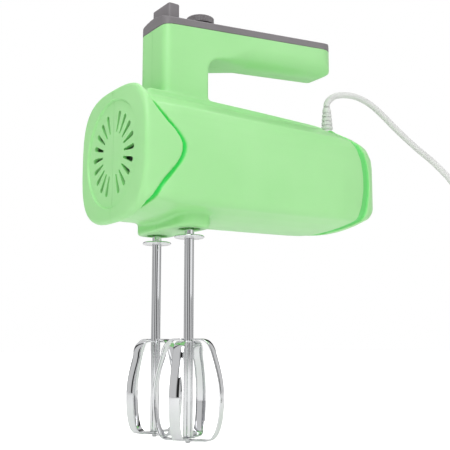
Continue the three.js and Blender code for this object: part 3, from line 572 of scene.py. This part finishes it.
def round_edges(piece, width, segments, chosen):
    """Rounds the sharp edges of a piece that the chosen test picks, with a width in millimetres."""
    bm = bmesh.new()
    bm.from_mesh(piece.data)
    back = DRAWING.inverted()
    picked = []
    for edge in bm.edges:
        if len(edge.link_faces) == 2 and edge.calc_face_angle(0) > math.radians(38):
            if chosen(back @ ((edge.verts[0].co + edge.verts[1].co) / 2)):
                picked.append(edge)
    bmesh.ops.bevel(
        bm,
        geom=picked,
        offset=width * MM,
        segments=segments,
        affect="EDGES",
        profile=0.5,
        material=-1,
        clamp_overlap=True,
    )
    bm.to_mesh(piece.data)
    bm.free()


def soften(piece, grid, passes):
    """Rebuilds a solid's skin on an even grid, in millimetres, and relaxes its edges into radii."""
    skin = piece.modifiers.new("even_skin", "REMESH")
    skin.mode, skin.voxel_size = "VOXEL", grid * MM
    relax = piece.modifiers.new("relax", "SMOOTH")
    relax.factor, relax.iterations = 0.5, passes
    settle(piece)


def open_edges(piece):
    """How many edges of a piece don't have exactly two faces: nought in a closed solid."""
    bm = bmesh.new()
    bm.from_mesh(piece.data)
    count = sum(not edge.is_manifold for edge in bm.edges)
    bm.free()
    return count


def finish_piece(piece, body, slot, *nodes, sharp=32):
    """Shades a piece smooth up to its edges, hangs it on the body it rides with and hides the frame's nodes
    that it stands for.
    """
    piece.data.polygons.foreach_set("use_smooth", [True] * len(piece.data.polygons))
    piece.data.set_sharp_from_angle(angle=math.radians(sharp))
    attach(piece, body)
    if nodes:
        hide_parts(*nodes)
    print(f"{piece.name}: {len(piece.data.polygons)} faces, {open_edges(piece)} open edges")


# %% [markdown]
# ## The body's forms
# The body is one section, extruded station by station towards the rear, with a broad round-cornered
# mask in front. Its two decorative lines, the bowed groove behind the mask and the band before the
# tail, are shallow channels of even depth. So the same form is also made a little smaller, as a
# core: a channel is what a side outline cuts away, as far down as the core.

# %% Body forms
PANEL_STEP = 1.7  # how far mask, panel and tail stand proud of the core
WALL = 2.2
GROOVE_HALF = 1.6  # half the width of the groove behind the mask
TAIL_GAP = 8  # width of the band before the tail
SECTION_HALF, SECTION_TOP, SECTION_LOW = 45, 39.6, 41  # how far the section reaches from its centre
END_FROM = 190  # stations behind this close the rear end, so an inset moves them forwards too


def body_section():
    """The body from the front: a shallow belly, flat flanks and a shoulder that slopes to the spine."""
    belly = [(y, -41 + 5.6 * (y / 41.2) ** 2) for y in (0, 10, 20, 31)]
    crease = arc((38.8, -29.8), (6, 6), -90, 0, 6)
    shoulder = [(45, -4), (44.9, 12), (43.9, 20), (40.6, 26.4), (30, 33.2), (18.4, 39), (0, 39.6)]
    half = [*belly, *crease, *shoulder]
    mirrored = [(-y, z) for y, z in reversed(half[1:-1])]
    return half + mirrored


# Each station: how far back it is, its half width, its top and its bottom.
STATIONS = [
    (2.4, 43.2, 39, -39),
    (20, 44.6, 39.4, -40.8),
    (40, 45, 39.2, -40.8),
    (80, 45, 38.6, -40.2),
    (130, 44.9, 38.8, -39.4),
    (158, 44.2, 38.8, -38.9),
    (172, 42.8, 38.4, -38.4),
    (183, 40.8, 37, -37),
    (190, 38.4, 34.5, -34),
    (195.5, 35, 30.5, -29.5),
    (199, 30.5, 25, -23.5),
    (201.2, 24, 17.5, -16),
    (202, 14, 9, -8),
]


def body_form(inset):
    """The section carried through the stations, moved inwards by the inset."""
    bm = bmesh.new()
    sizes = [
        (x - (inset if x > END_FROM else 0), half - inset, top - inset, -low - inset)
        for x, half, top, low in STATIONS
    ]
    section = body_section()
    ring = [bm.verts.new((0, y, z)) for y, z in section]
    edges = [bm.edges.new(pair) for pair in zip(ring, ring[1:] + ring[:1])]
    shape = {vert: place for vert, place in zip(ring, section)}
    for index, (x, half, top, low) in enumerate(sizes):
        if index:
            grown = bmesh.ops.extrude_edge_only(bm, edges=edges)
            fresh = new_verts(grown)
            edges = [g for g in grown["geom"] if isinstance(g, bmesh.types.BMEdge)]
            edges = [e for e in edges if e.verts[0] in set(fresh) and e.verts[1] in set(fresh)]
            before = sizes[index - 1]
            for vert in fresh:
                tall = top / before[2] if vert.co.z > 0 else low / before[3]
                vert.co = (x, vert.co.y * half / before[1], vert.co.z * tall)
        else:
            for vert, (y, z) in shape.items():
                tall = top / SECTION_TOP if z > 0 else low / SECTION_LOW
                vert.co = (x, y * half / SECTION_HALF, z * tall)
    rims = [e for e in bm.edges if e.is_boundary]
    bmesh.ops.holes_fill(bm, edges=rims, sides=0)
    return bm


def groove_x(z):
    """How far back the groove runs at a height: it bulges to the rear at the motor's height."""
    spread = 18.5 if z > -0.7 else 24
    return 3 + 23 * math.exp(-(((z + 0.7) / spread) ** 2))


def panel_end_x(z):
    """Where the side panel ends at the rear, as a shallow bow."""
    return 180.5 - (z + 4) ** 2 / 95


HEIGHTS = [55 - 2.75 * i for i in range(41)]


def channel_tool(name, line, front, rear):
    """What a channel takes away: a bent strip of the side view, outside the core."""
    outline = [(line(z) + front, z) for z in HEIGHTS]
    outline += [(line(z) + rear, z) for z in reversed(HEIGHTS)]
    tool = make(name, side_prism(outline, -60, 60), mint_abs)
    combine(tool, make("spared", body_form(PANEL_STEP), mint_abs), "DIFFERENCE")
    return tool


NOSE = {"half": 45.2, "tall": 43.8, "middle": -0.6, "squareness": 3.15}
MASK = {"front": -1.4, "deep": 40, "edge": 3.0}  # its front plane, its depth and the radius of its rim


def nose_outline(steps=72):
    """The nose from the front: a superellipse, between an ellipse and a rectangle."""
    points = []
    for i in range(steps):
        angle = 2 * math.pi * i / steps
        c, s = math.cos(angle), math.sin(angle)
        reach = (abs(c) ** NOSE["squareness"] + abs(s) ** NOSE["squareness"]) ** (-1 / NOSE["squareness"])
        points.append((NOSE["half"] * c * reach, NOSE["middle"] + NOSE["tall"] * s * reach))
    return points


mask_plate = prism([(MASK["front"], y, z) for y, z in nose_outline()], (MASK["deep"], 0, 0))
mask = make("mask", mask_plate, mint_abs)
round_edges(mask, MASK["edge"], 5, lambda p: p.x < MASK["front"] + 0.4)
mask_side = [(-10, 55), *[(groove_x(z), z) for z in HEIGHTS], (-10, -55)]
combine(mask, make("front", side_prism(mask_side, -60, 60), mint_abs), "INTERSECT")
body = make("body", body_form(0), mint_abs)
core = make("core", body_form(PANEL_STEP), mint_abs)
core_skin = BVHTree.FromObject(core, bpy.context.evaluated_depsgraph_get())
bpy.data.objects.remove(core)
print("open edges in the forms:", [open_edges(o) for o in (mask, body)])

# %% [markdown]
# ## Spine, boss and handle
# A raised spine runs along the top of the body and carries the post. The boss below holds the two
# beater sockets. Post and grip are one L-shaped outline pushed across the width. The underside of
# the grip is well rounded for the fingers, so a round-bottomed section is kept of it, while the
# post keeps its full width. The two are shared out by intersecting solids.

# %% Spine, boss and handle
SPINE_HALF, GRIP_HALF = 19.6, 17.4
SEAM_FRONT, SLOPE = 88.9, math.tan(math.radians(5.05))
UNDER_RADIUS = 13.5  # rounding of the grip's underside
GRADES = 9  # steps in which that rounding grows from nothing at the post
PAST_SEAM = 4  # the green form runs up past the seam and is cut off flat there later
GRIP = {"front": 27.2, "post_rear": 61.6, "rear": 179.5, "under_front": 72.3, "under_rear": 82.6}


def seam_z(x):
    """Height of the seam between the green handle and its grey cover."""
    return SEAM_FRONT + (x - GRIP["front"]) * SLOPE


spine_side = [(12, 30), (170, 30), (174, 38.4), (150, 39.9), (104, 41.1), (58, 41.9), (14, 42.4)]
spine = make("spine", side_prism(spine_side, -SPINE_HALF, SPINE_HALF), mint_abs)
round_edges(spine, 1.8, 4, lambda p: p.z > 36)

BOSS = {"x": 44.6, "long": 12.4, "wide": 32.4, "bottom": -46.9, "corner": 9.5}
boss_plan = rounded_rectangle(
    (BOSS["x"] - BOSS["long"], -BOSS["wide"]), (BOSS["x"] + BOSS["long"], BOSS["wide"]), BOSS["corner"]
)
boss = make("boss", prism([(x, y, BOSS["bottom"]) for x, y in boss_plan], (0, 0, 22)), mint_abs)
round_edges(boss, 0.7, 3, lambda p: p.z < -46)


def grip_plan(inset, front_radius=5.5, rear_radius=15.5):
    """Post and grip from above, rounder at the rear than at the front."""
    front, rear, half = GRIP["front"] + inset, GRIP["rear"] - inset, GRIP_HALF - inset
    near, far = front_radius - inset / 2, rear_radius - inset
    points = arc((rear - far, -half + far), (far, far), -90, 0, 10)
    points += arc((rear - far, half - far), (far, far), 0, 90, 10)
    points += arc((front + near, half - near), (near, near), 90, 180, 6)
    return points + arc((front + near, -half + near), (near, near), 180, 270, 6)


def round_bottomed(radius, reach, inset):
    """A section with a rounded bottom, carried along the grip's slope for some way."""
    half, low = GRIP_HALF - inset, GRIP["under_front"] + inset
    section = rounded_rectangle((-half, low), (half, 140), radius)
    bm = prism([(GRIP["post_rear"] - 2, y, z) for y, z in section], (reach, 0, 0))
    rise = Matrix.Identity(4)
    rise[2][0] = (GRIP["under_rear"] - GRIP["under_front"]) / (GRIP["rear"] - GRIP["post_rear"])
    start = Matrix.Translation((GRIP["post_rear"], 0, 0))
    bm.transform(start @ rise @ start.inverted())
    return make("round_bottomed", bm, mint_abs)


def handle_piece(name, inset):
    """Post and grip: what a side outline, a plan and the graded round bottom have in common."""
    front, rear = GRIP["front"] + inset, GRIP["rear"] - inset
    post_rear, half = GRIP["post_rear"] - inset, GRIP_HALF - inset
    low_front, low_rear = GRIP["under_front"] + inset, GRIP["under_rear"] + inset
    inner = arc((post_rear + 9.5, low_front - 9), (9.5, 9.5), 180, 95, 8)
    end = arc((rear - 12, low_rear + 11.2), (12, 12), -85, 0, 8)
    outline = [(front, 33 + inset), (post_rear, 33 + inset), *inner, *end]
    outline += [(rear, seam_z(rear) + PAST_SEAM), (front, seam_z(front) + PAST_SEAM)]
    piece = make(name, side_prism(outline, -half, half), mint_abs)
    plan = prism([(x, y, 20) for x, y in grip_plan(inset)], (0, 0, 110))
    combine(piece, make("plan", plan, mint_abs), "INTERSECT")

    allowed = round_bottomed(UNDER_RADIUS - inset, 140, inset)
    for step in range(1, GRADES):
        reach = 14 + 26 * step / GRADES
        graded = round_bottomed((UNDER_RADIUS - inset) * step / GRADES, reach, inset)
        combine(allowed, graded, "UNION")
    post_box = side_prism(
        [(front - 1, 20), (post_rear + 10, 20), (post_rear + 10, 140), (front - 1, 140)], -30, 30
    )
    combine(allowed, make("post", post_box, mint_abs), "UNION")
    combine(piece, allowed, "INTERSECT")
    return piece


handle = handle_piece("handle", 0)
print("handle:", len(handle.data.polygons), "faces,", open_edges(handle), "open edges")

# %% [markdown]
# ## The shells
# All forms are joined into one solid, hollowed, and pierced by the vents, the sockets, the lead's
# hole and the screw holes. Only then is it split down the middle into two shells, as the mould
# maker splits it, which leaves a hairline seam across the vents and along the spine.

# %% Shells
housing = mask
for form in (body, spine, boss, handle):
    combine(housing, form, "UNION")
soften(housing, 0.9, 9)
combine(housing, channel_tool("groove", groove_x, -GROOVE_HALF, GROOVE_HALF), "DIFFERENCE")
combine(housing, channel_tool("band", panel_end_x, 0, TAIL_GAP), "DIFFERENCE")
soften(housing, 0.8, 1)
above_seam = [(0, seam_z(0)), (220, seam_z(220)), (220, 140), (0, 140)]
combine(housing, make("above_seam", side_prism(above_seam, -40, 40), mint_abs), "DIFFERENCE")

vent_recess = turned([(0, -3), (35.6, -3), (35.4, -1.4), (34.4, -0.2), (0, -0.2)], (0, 0, 0), "X", 96)
combine(housing, make("recess", vent_recess, mint_abs), "DIFFERENCE")


def vent_slot(angle):
    """One tapered air slot through the nose, wider at its outer end."""
    narrow, wide, inner, outer = 0.6, 1.75, 14.5, 28
    outline = [(-narrow, inner), (narrow, inner), *arc((0, outer - wide), (wide, wide), 0, 180, 6)]
    slot = prism([(-4, y, z) for y, z in outline], (9, 0, 0))
    slot.transform(Matrix.Rotation(angle, 4, "X"))
    return slot


SLOTS = 20
slots = [vent_slot(2 * math.pi * i / SLOTS) for i in range(SLOTS) if i % (SLOTS // 2)]

hollow = body_form(PANEL_STEP + WALL)
combine(housing, make("hollow", hollow, mint_abs), "DIFFERENCE")
combine(housing, handle_piece("handle_hollow", WALL), "DIFFERENCE")
boss_hollow = rounded_rectangle((34.6, -30), (54.6, 30), 7)
combine(
    housing,
    make("boss_hollow", prism([(x, y, -44.4) for x, y in boss_hollow], (0, 0, 20)), mint_abs),
    "DIFFERENCE",
)
combine(housing, make("slots", together(*slots), mint_abs), "DIFFERENCE")

SOCKET_Y = 20.53
round_holes = [
    turned([(0, -60), (7, -60), (7, -38), (0, -38)], (BOSS["x"], side * SOCKET_Y, 0)) for side in (-1, 1)
]
round_holes.append(turned([(0, 30), (4.7, 30), (4.7, 60), (0, 60)], (183.5, 0, 0)))
combine(housing, make("holes", together(*round_holes), mint_abs), "DIFFERENCE")
print("housing:", len(housing.data.polygons), "faces,", open_edges(housing), "open edges")

# %% [markdown]
# The screws go in from the right. Each sinks down a tube to its seat, so the right shell gets the
# tubes, and the left one stays clean on its outside.

# %% Split the shells and sink the screw holes
SEAM = 0.1
# Each screw's place in the side view, and how far out its tube reaches.
SCREWS = [(77, -32.5, 42), (160, -26, 41), (160, 26, 40), (16, 32, 38), (54, 60, 16.4), (160, 92, 16.4)]


def half_of(source, name, y0, y1):
    """The part of the housing between two planes across the width."""
    piece = bpy.data.objects.new(name, source.data.copy())
    scene.collection.objects.link(piece)
    box = side_prism([(-20, -80), (230, -80), (230, 140), (-20, 140)], y0, y1)
    combine(piece, make("box", box, mint_abs), "INTERSECT")
    return piece


def paint_channel_shade(shell):
    """Stores how deep each vertex lies in a channel, as the mask of the painted shade in the plastic's
    colour.
    """
    recess = shell.data.attributes.new("recess", "FLOAT", "POINT")
    to_drawing = DRAWING.inverted()
    values = []
    for vert in shell.data.vertices:
        x, _, z = to_drawing @ vert.co
        in_groove = abs(x - groove_x(z)) < GROOVE_HALF + 1
        in_band = -1 < x - panel_end_x(z) < TAIL_GAP + 1
        # Painted shade: full in the groove behind the mask, weaker in the band before the tail.
        strength = 1.0 if in_groove else 0.6 if in_band else 0.0
        if strength:
            far = core_skin.find_nearest(vert.co, 2 * MM)[3]
            strength *= min(1.0, max(0.0, 1.5 - far / MM)) if far is not None else 0.0
        values.append(strength)
    recess.data.foreach_set("value", values)


left_shell = half_of(housing, "left_shell", -60, -SEAM)
right_shell = half_of(housing, "right_shell", SEAM, 60)
bpy.data.objects.remove(housing)
tubes = [turned([(0, 0.4), (4.3, 0.4), (4.3, y), (0, y)], (x, 0, z), "Y", 24) for x, z, y in SCREWS]
combine(right_shell, make("tubes", together(*tubes), mint_abs), "UNION")
bores = [
    turned([(0, -5), (1.8, -5), (1.8, 6.5), (3.4, 6.5), (3.4, 70), (0, 70)], (x, 0, z), "Y", 32)
    for x, z, _ in SCREWS
]
combine(right_shell, make("bores", together(*bores), mint_abs), "DIFFERENCE")
for shell, node_name in ((left_shell, "left_housing"), (right_shell, "right_housing")):
    paint_channel_shade(shell)
    finish_piece(shell, "housing", "mint_plastic", node_name)

# %% [markdown]
# ## Cover, button and dial
# The grey cover is a shallow lid: a profile with a crowned top is carried along the grip, trimmed
# to the plan outline, rolled down at its rear end and hollowed. The eject button is a broad key,
# and the dial is a small knob whose fine ribs give the thumb a grip.

# %% Cover
COVER_EDGE, COVER_CROWN = 5, 3.4  # the cover's height at its sides, and how much its middle adds
ROLL_BACK = 18  # how far before its rear end the cover starts to roll down
lean = Matrix.Identity(4)
lean[2][0] = SLOPE
pivot = Matrix.Translation((GRIP["front"], 0, 0))
LEAN = pivot @ lean @ pivot.inverted()


def cover_profile(inset):
    """The cover from the front: upright sides under a top that is crowned across."""
    half, low, edge = GRIP_HALF - inset, SEAM_FRONT - 4, SEAM_FRONT + COVER_EDGE - inset
    crown = [(half * (1 - 2 * i / 16), 1 - (1 - 2 * i / 16) ** 2) for i in range(17)]
    return [(-half, low), (half, low), *[(y, edge + COVER_CROWN * rise) for y, rise in crown]]


def cover_form(inset):
    """The cover's profile carried along the grip and leant to the grip's slope."""
    x0, x1 = GRIP["front"] + inset, GRIP["rear"] - inset
    bm = prism([(x0, y, z) for y, z in cover_profile(inset)], (x1 - x0, 0, 0))
    bm.transform(LEAN)
    return bm


cover = make("grip_cover", cover_form(0), grey_abs)
cover_plan = prism([(x, y, 60) for x, y in grip_plan(0)], (0, 0, 80))
combine(cover, make("plan", cover_plan, grey_abs), "INTERSECT")
cover_tall = COVER_EDGE + COVER_CROWN
end_x, roll_x = GRIP["rear"], GRIP["rear"] - ROLL_BACK
roll_start = (roll_x, seam_z(roll_x) + cover_tall)
roll_over = (end_x - 7, seam_z(end_x - 7) + cover_tall)
roll = bezier(roll_start, roll_over, (end_x, seam_z(end_x) + 5), (end_x, seam_z(end_x)))
cover_side = [(0, 60), (0, seam_z(0) + cover_tall), roll_start, *roll, (end_x, 60)]
combine(cover, make("roll", side_prism(cover_side, -30, 30), grey_abs), "INTERSECT")
soften(cover, 0.7, 4)
below_seam = [(0, 60), (220, 60), (220, seam_z(220) + 0.3), (0, seam_z(0) + 0.3)]
combine(cover, make("below_seam", side_prism(below_seam, -40, 40), grey_abs), "DIFFERENCE")
lid_hollow = make("lid_hollow", cover_form(WALL), grey_abs)
inner_plan = prism([(x, y, 60) for x, y in grip_plan(WALL)], (0, 0, 80))
combine(lid_hollow, make("inner_plan", inner_plan, grey_abs), "INTERSECT")
combine(cover, lid_hollow, "DIFFERENCE")

BUTTON = {"x": 37.7, "long": 8.6, "half": 11, "top": 107.4}
DIAL = {"x": 65.5, "radius": 9.6, "bottom": 101.9, "top": 107.6, "socket": 3.1, "passage": 3.3}
button_hole = rounded_rectangle((BUTTON["x"] - 4.7, -11.4), (BUTTON["x"] + 4.7, 11.4), 2.4)
combine(cover, make("hole", prism([(x, y, 80) for x, y in button_hole], (0, 0, 40)), grey_abs), "DIFFERENCE")
passage = DIAL["passage"]
shaft_hole = turned([(0, 80), (passage, 80), (passage, 120), (0, 120)], (DIAL["x"], 0, 0))
combine(cover, make("shaft_hole", shaft_hole, grey_abs), "DIFFERENCE")
finish_piece(cover, "housing", "grey_plastic", "handle_cover")

# %% Button and dial
key_low = (BUTTON["x"] - BUTTON["long"] / 2, -BUTTON["half"])
key_high = (BUTTON["x"] + BUTTON["long"] / 2, BUTTON["half"])
key_plan = rounded_rectangle(key_low, key_high, 1.6, 5)
key_bottom = 90.5
key_solid = prism([(x, y, key_bottom) for x, y in key_plan], (0, 0, BUTTON["top"] - key_bottom))
key = make("eject_key", key_solid, grey_abs)
round_edges(key, 0.9, 4, lambda p: p.z > BUTTON["top"] - 0.1)
finish_piece(key, "ejector", "grey_plastic", "eject_button", sharp=50)

RIBS, RIB_DEPTH = 40, 0.4


def ribbed_drum():
    """A round drum with fine upright ribs."""
    bm = bmesh.new()
    made = bmesh.ops.create_circle(bm, cap_ends=True, segments=4 * RIBS, radius=DIAL["radius"])
    for index, vert in enumerate(made["verts"]):
        if index % 4 < 2:
            vert.co *= 1 - RIB_DEPTH / DIAL["radius"]
    bmesh.ops.translate(bm, verts=bm.verts, vec=(DIAL["x"], 0, DIAL["bottom"]))
    pushed = bmesh.ops.extrude_face_region(bm, geom=bm.faces[:])
    height = DIAL["top"] - 1.4 - DIAL["bottom"]
    bmesh.ops.translate(bm, verts=new_verts(pushed), vec=(0, 0, height))
    return bm


knob = make("speed_knob", ribbed_drum(), grey_abs)
shoulder_z = DIAL["top"] - 2.2
dome_radius = DIAL["radius"] - 0.7
dome_curve = arc((0, DIAL["top"] - 1.3), (dome_radius, 1.3), 0, 90, 8)
dome_profile = [(0, shoulder_z), (dome_radius, shoulder_z), *dome_curve[:-1], (0, DIAL["top"])]
combine(knob, make("dome", turned(dome_profile, (DIAL["x"], 0, 0), steps=72), grey_abs), "UNION")
bore, bore_top = DIAL["socket"], DIAL["bottom"] + 3
socket = turned([(0, 95), (bore, 95), (bore, bore_top), (0, bore_top)], (DIAL["x"], 0, 0))
combine(knob, make("socket", socket, grey_abs), "DIFFERENCE")
finish_piece(knob, "dial", "grey_plastic", "speed_dial", sharp=25)

# %% [markdown]
# ## Return spring
# Under the key a coil spring of 1.1 mm wire pushes it back up. A spring gets shorter when it is
# pressed and nothing else about it changes much, so the coil is one round section spun upwards.

# %% Spring
SPRING = {"radius": 6.1, "wire": 0.55, "turns": 4.5, "low": 71.1, "high": 86.6, "travel": 6}


def coil_spring():
    """A round section spun about an upright axis while it rises, with both ends closed."""
    bm = bmesh.new()
    stand = Matrix.Translation((SPRING["radius"], 0, 0)) @ Matrix.Rotation(math.pi / 2, 4, "X")
    bmesh.ops.create_circle(bm, cap_ends=False, segments=10, radius=SPRING["wire"], matrix=stand)
    steps = round(28 * SPRING["turns"])
    bmesh.ops.spin(
        bm,
        geom=[*bm.verts, *bm.edges],
        cent=(0, 0, 0),
        axis=(0, 0, 1),
        dvec=(0, 0, (SPRING["high"] - SPRING["low"]) / steps),
        angle=2 * math.pi * SPRING["turns"],
        steps=steps,
        use_merge=False,
    )
    bmesh.ops.holes_fill(bm, edges=[e for e in bm.edges if e.is_boundary], sides=0)
    bmesh.ops.translate(bm, verts=bm.verts, vec=(BUTTON["x"], 0, SPRING["low"]))
    return bm


spring = make("return_spring", coil_spring(), zinc)
finish_piece(spring, "housing", "zinc_steel", "eject_spring")
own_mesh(spring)

# %% [markdown]
# ## Beaters
# Each beater is a rod with a pressed collar and two crossed loops of bent steel strip, riveted
# below the rod's end. The strip's edges are rolled round, and that is what catches the light, so
# the loops are an outline pushed to the strip's width, given the strip's thickness and bevelled.

# %% Beaters
STRIP, GAUGE = 7.0, 1.0  # the strip's width and thickness
STRIP_EDGE = 0.32  # radius of its rolled edges
LOOP_GAP = 0.3  # between the outer loop and the inner one
LOOP_TOP, LOOP_BOTTOM, LOOP_RADIUS, TIP = -115.6, -178.6, 23.3, -179.4
ROD, NOTCH, RIVET = 3.05, 2.6, 1.6  # radii of the rod, of its clip notch and of the rivet at its end
COLLAR_RADIUS = 8.8  # to the middle of the collar's rolled rim


def loop_outline(inset):
    """Half of a loop, from beside the rod at its top to below the rod's end."""
    top, bottom, wide = LOOP_TOP - inset, LOOP_BOTTOM + inset, LOOP_RADIUS - inset
    shoulder = (18.2 - inset, top - 10)
    points = [(3.35, top), (8, top)]
    points += bezier((8, top), (13, top), (16, top - 3), shoulder)
    points += bezier(shoulder, (21.4 - inset, top - 20), (wide, -143), (wide, -153))
    points += bezier((wide, -153), (wide, -163), (21.5 - inset, bottom), (13, bottom))
    return [*points, (6, bottom), (1.9, bottom)]


def strip_loop(name, side, angle, inset):
    """A loop of steel strip with rolled edges, in two mirrored halves."""
    halves = []
    for hand in (-1, 1):
        bm = bmesh.new()
        run = [bm.verts.new((hand * x, -STRIP / 2, z)) for x, z in loop_outline(inset + GAUGE / 2)]
        chain = [bm.edges.new(pair) for pair in zip(run, run[1:])]
        pushed = bmesh.ops.extrude_edge_only(bm, edges=chain)
        bmesh.ops.translate(bm, verts=new_verts(pushed), vec=(0, STRIP, 0))
        bmesh.ops.recalc_face_normals(bm, faces=bm.faces)
        bmesh.ops.solidify(bm, geom=bm.faces[:], thickness=GAUGE)
        sharp = [e for e in bm.edges if len(e.link_faces) == 2 and e.calc_face_angle(0) > 1]
        bmesh.ops.bevel(
            bm,
            geom=sharp,
            offset=STRIP_EDGE,
            segments=2,
            affect="EDGES",
            profile=0.5,
            material=-1,
            clamp_overlap=True,
        )
        halves.append(bm)
    whole = together(*halves)
    whole.transform(
        Matrix.Translation((BOSS["x"], side * SOCKET_Y, 0)) @ Matrix.Rotation(math.radians(angle), 4, "Z")
    )
    return make(name, whole, chrome)


def beater(name, side, angle):
    """One beater: rod, collar and two crossed loops."""
    place = (BOSS["x"], side * SOCKET_Y, 0)
    rod_profile = [(0, TIP), (1.1, TIP), (RIVET, TIP + 0.5), (RIVET, -175.9), (2.7, -175.9)]
    rod_profile += [(ROD, -175.5), (ROD, -24.8), (NOTCH, -24.4), (NOTCH, -23.6), (ROD, -23.2)]
    rod_profile += [(ROD, 4.8), (2, 6), (0, 6)]
    rod = make(f"{name}_rod", turned(rod_profile, place), chrome)
    finish_piece(rod, f"{name}_beater", "polished_steel", f"{name}_beater_shaft")
    rim = arc((COLLAR_RADIUS, -52), (0.8, 0.8), -90, 90, 6)
    collar_profile = [(3.3, -52.8), *rim, (3.3, -51.2), (3.3, -52.8)]
    collar = make(f"{name}_collar", turned(collar_profile, place), chrome)
    finish_piece(collar, f"{name}_beater", "polished_steel", f"{name}_beater_collar")
    for which, turn, inset in (("outer", 0, 0), ("inner", 90, GAUGE + LOOP_GAP)):
        loop = strip_loop(f"{name}_{which}_strip", side, angle + turn, inset)
        finish_piece(loop, f"{name}_beater", "polished_steel", f"{name}_beater_{which}_loop")


# The beaters turn opposite ways. Mirrored, their loops stand 45 degrees apart, to pass between each other.
beater("left", -1, -55.5)
beater("right", 1, 100.5)

# %% [markdown]
# ## Lead guard and plug
# The guard is moulded in soft PVC with a few rings, so that it bends with the lead. It tapers
# from the body to the lead. The plug is a flat moulding with two pins.

# %% Guard and plug
guard_profile = [(0, 32), (6.2, 32), (6.2, 35.2), (4.3, 35.3), (4.3, 43)]
for ring in range(5):
    z, radius = 44.4 + 3.3 * ring, 4.45 - 0.27 * ring
    guard_profile += [(radius - 0.75, z), (radius - 0.75, z + 0.7), (radius, z + 0.95), (radius, z + 2.9)]
guard_profile += [(3.0, 61.4), (2.7, 62.5), (0, 62.5)]
guard = make("lead_guard", turned(guard_profile, (183.5, 0, 0)), white_pvc)
finish_piece(guard, "housing", "white_rubber", "strain_relief")

PLUG = {"x": 384, "y": -22, "thick": 13.7, "length": 34, "spacing": 18.6}
plug_low = TIP + PLUG["thick"] / 2
half_plug = [(4.5, 0), (6, 10), *bezier((6, 10), (8, 15), (12, 16), (12.5, 20)), (13, 32), (11.5, 34)]
plug_plan = [(PLUG["x"] + w, PLUG["y"] + l) for w, l in half_plug]
plug_plan += [(PLUG["x"] - w, PLUG["y"] + l) for w, l in reversed(half_plug)]
plug = make("plug", prism([(x, y, TIP) for x, y in plug_plan], (0, 0, PLUG["thick"])), white_pvc)
soften(plug, 0.6, 8)
pin_places = [(PLUG["x"] + side * PLUG["spacing"] / 2, 0, plug_low) for side in (-1, 1)]
face_y = PLUG["y"] + PLUG["length"]
wells = [turned([(0, face_y - 4), (2.3, face_y - 4), (2.3, 30), (0, 30)], p, "Y", 24) for p in pin_places]
combine(plug, make("wells", together(*wells), white_pvc), "DIFFERENCE")
finish_piece(plug, "housing", "white_rubber", "plug_body")
for name, place in zip(("left", "right"), pin_places):
    nose = arc((0.8, face_y + 17.8), (1.2, 1.2), 0, 90, 4)
    profile = [(0, face_y - 3.7), (2, face_y - 3.7), *nose, (0, face_y + 19)]
    pin = make(f"{name}_pin", turned(profile, place, "Y", 32), chrome)
    finish_piece(pin, "housing", "polished_steel", f"{name}_plug_pin")

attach(lead, "housing")
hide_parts("cord", "cord_tail", "cord_coil")
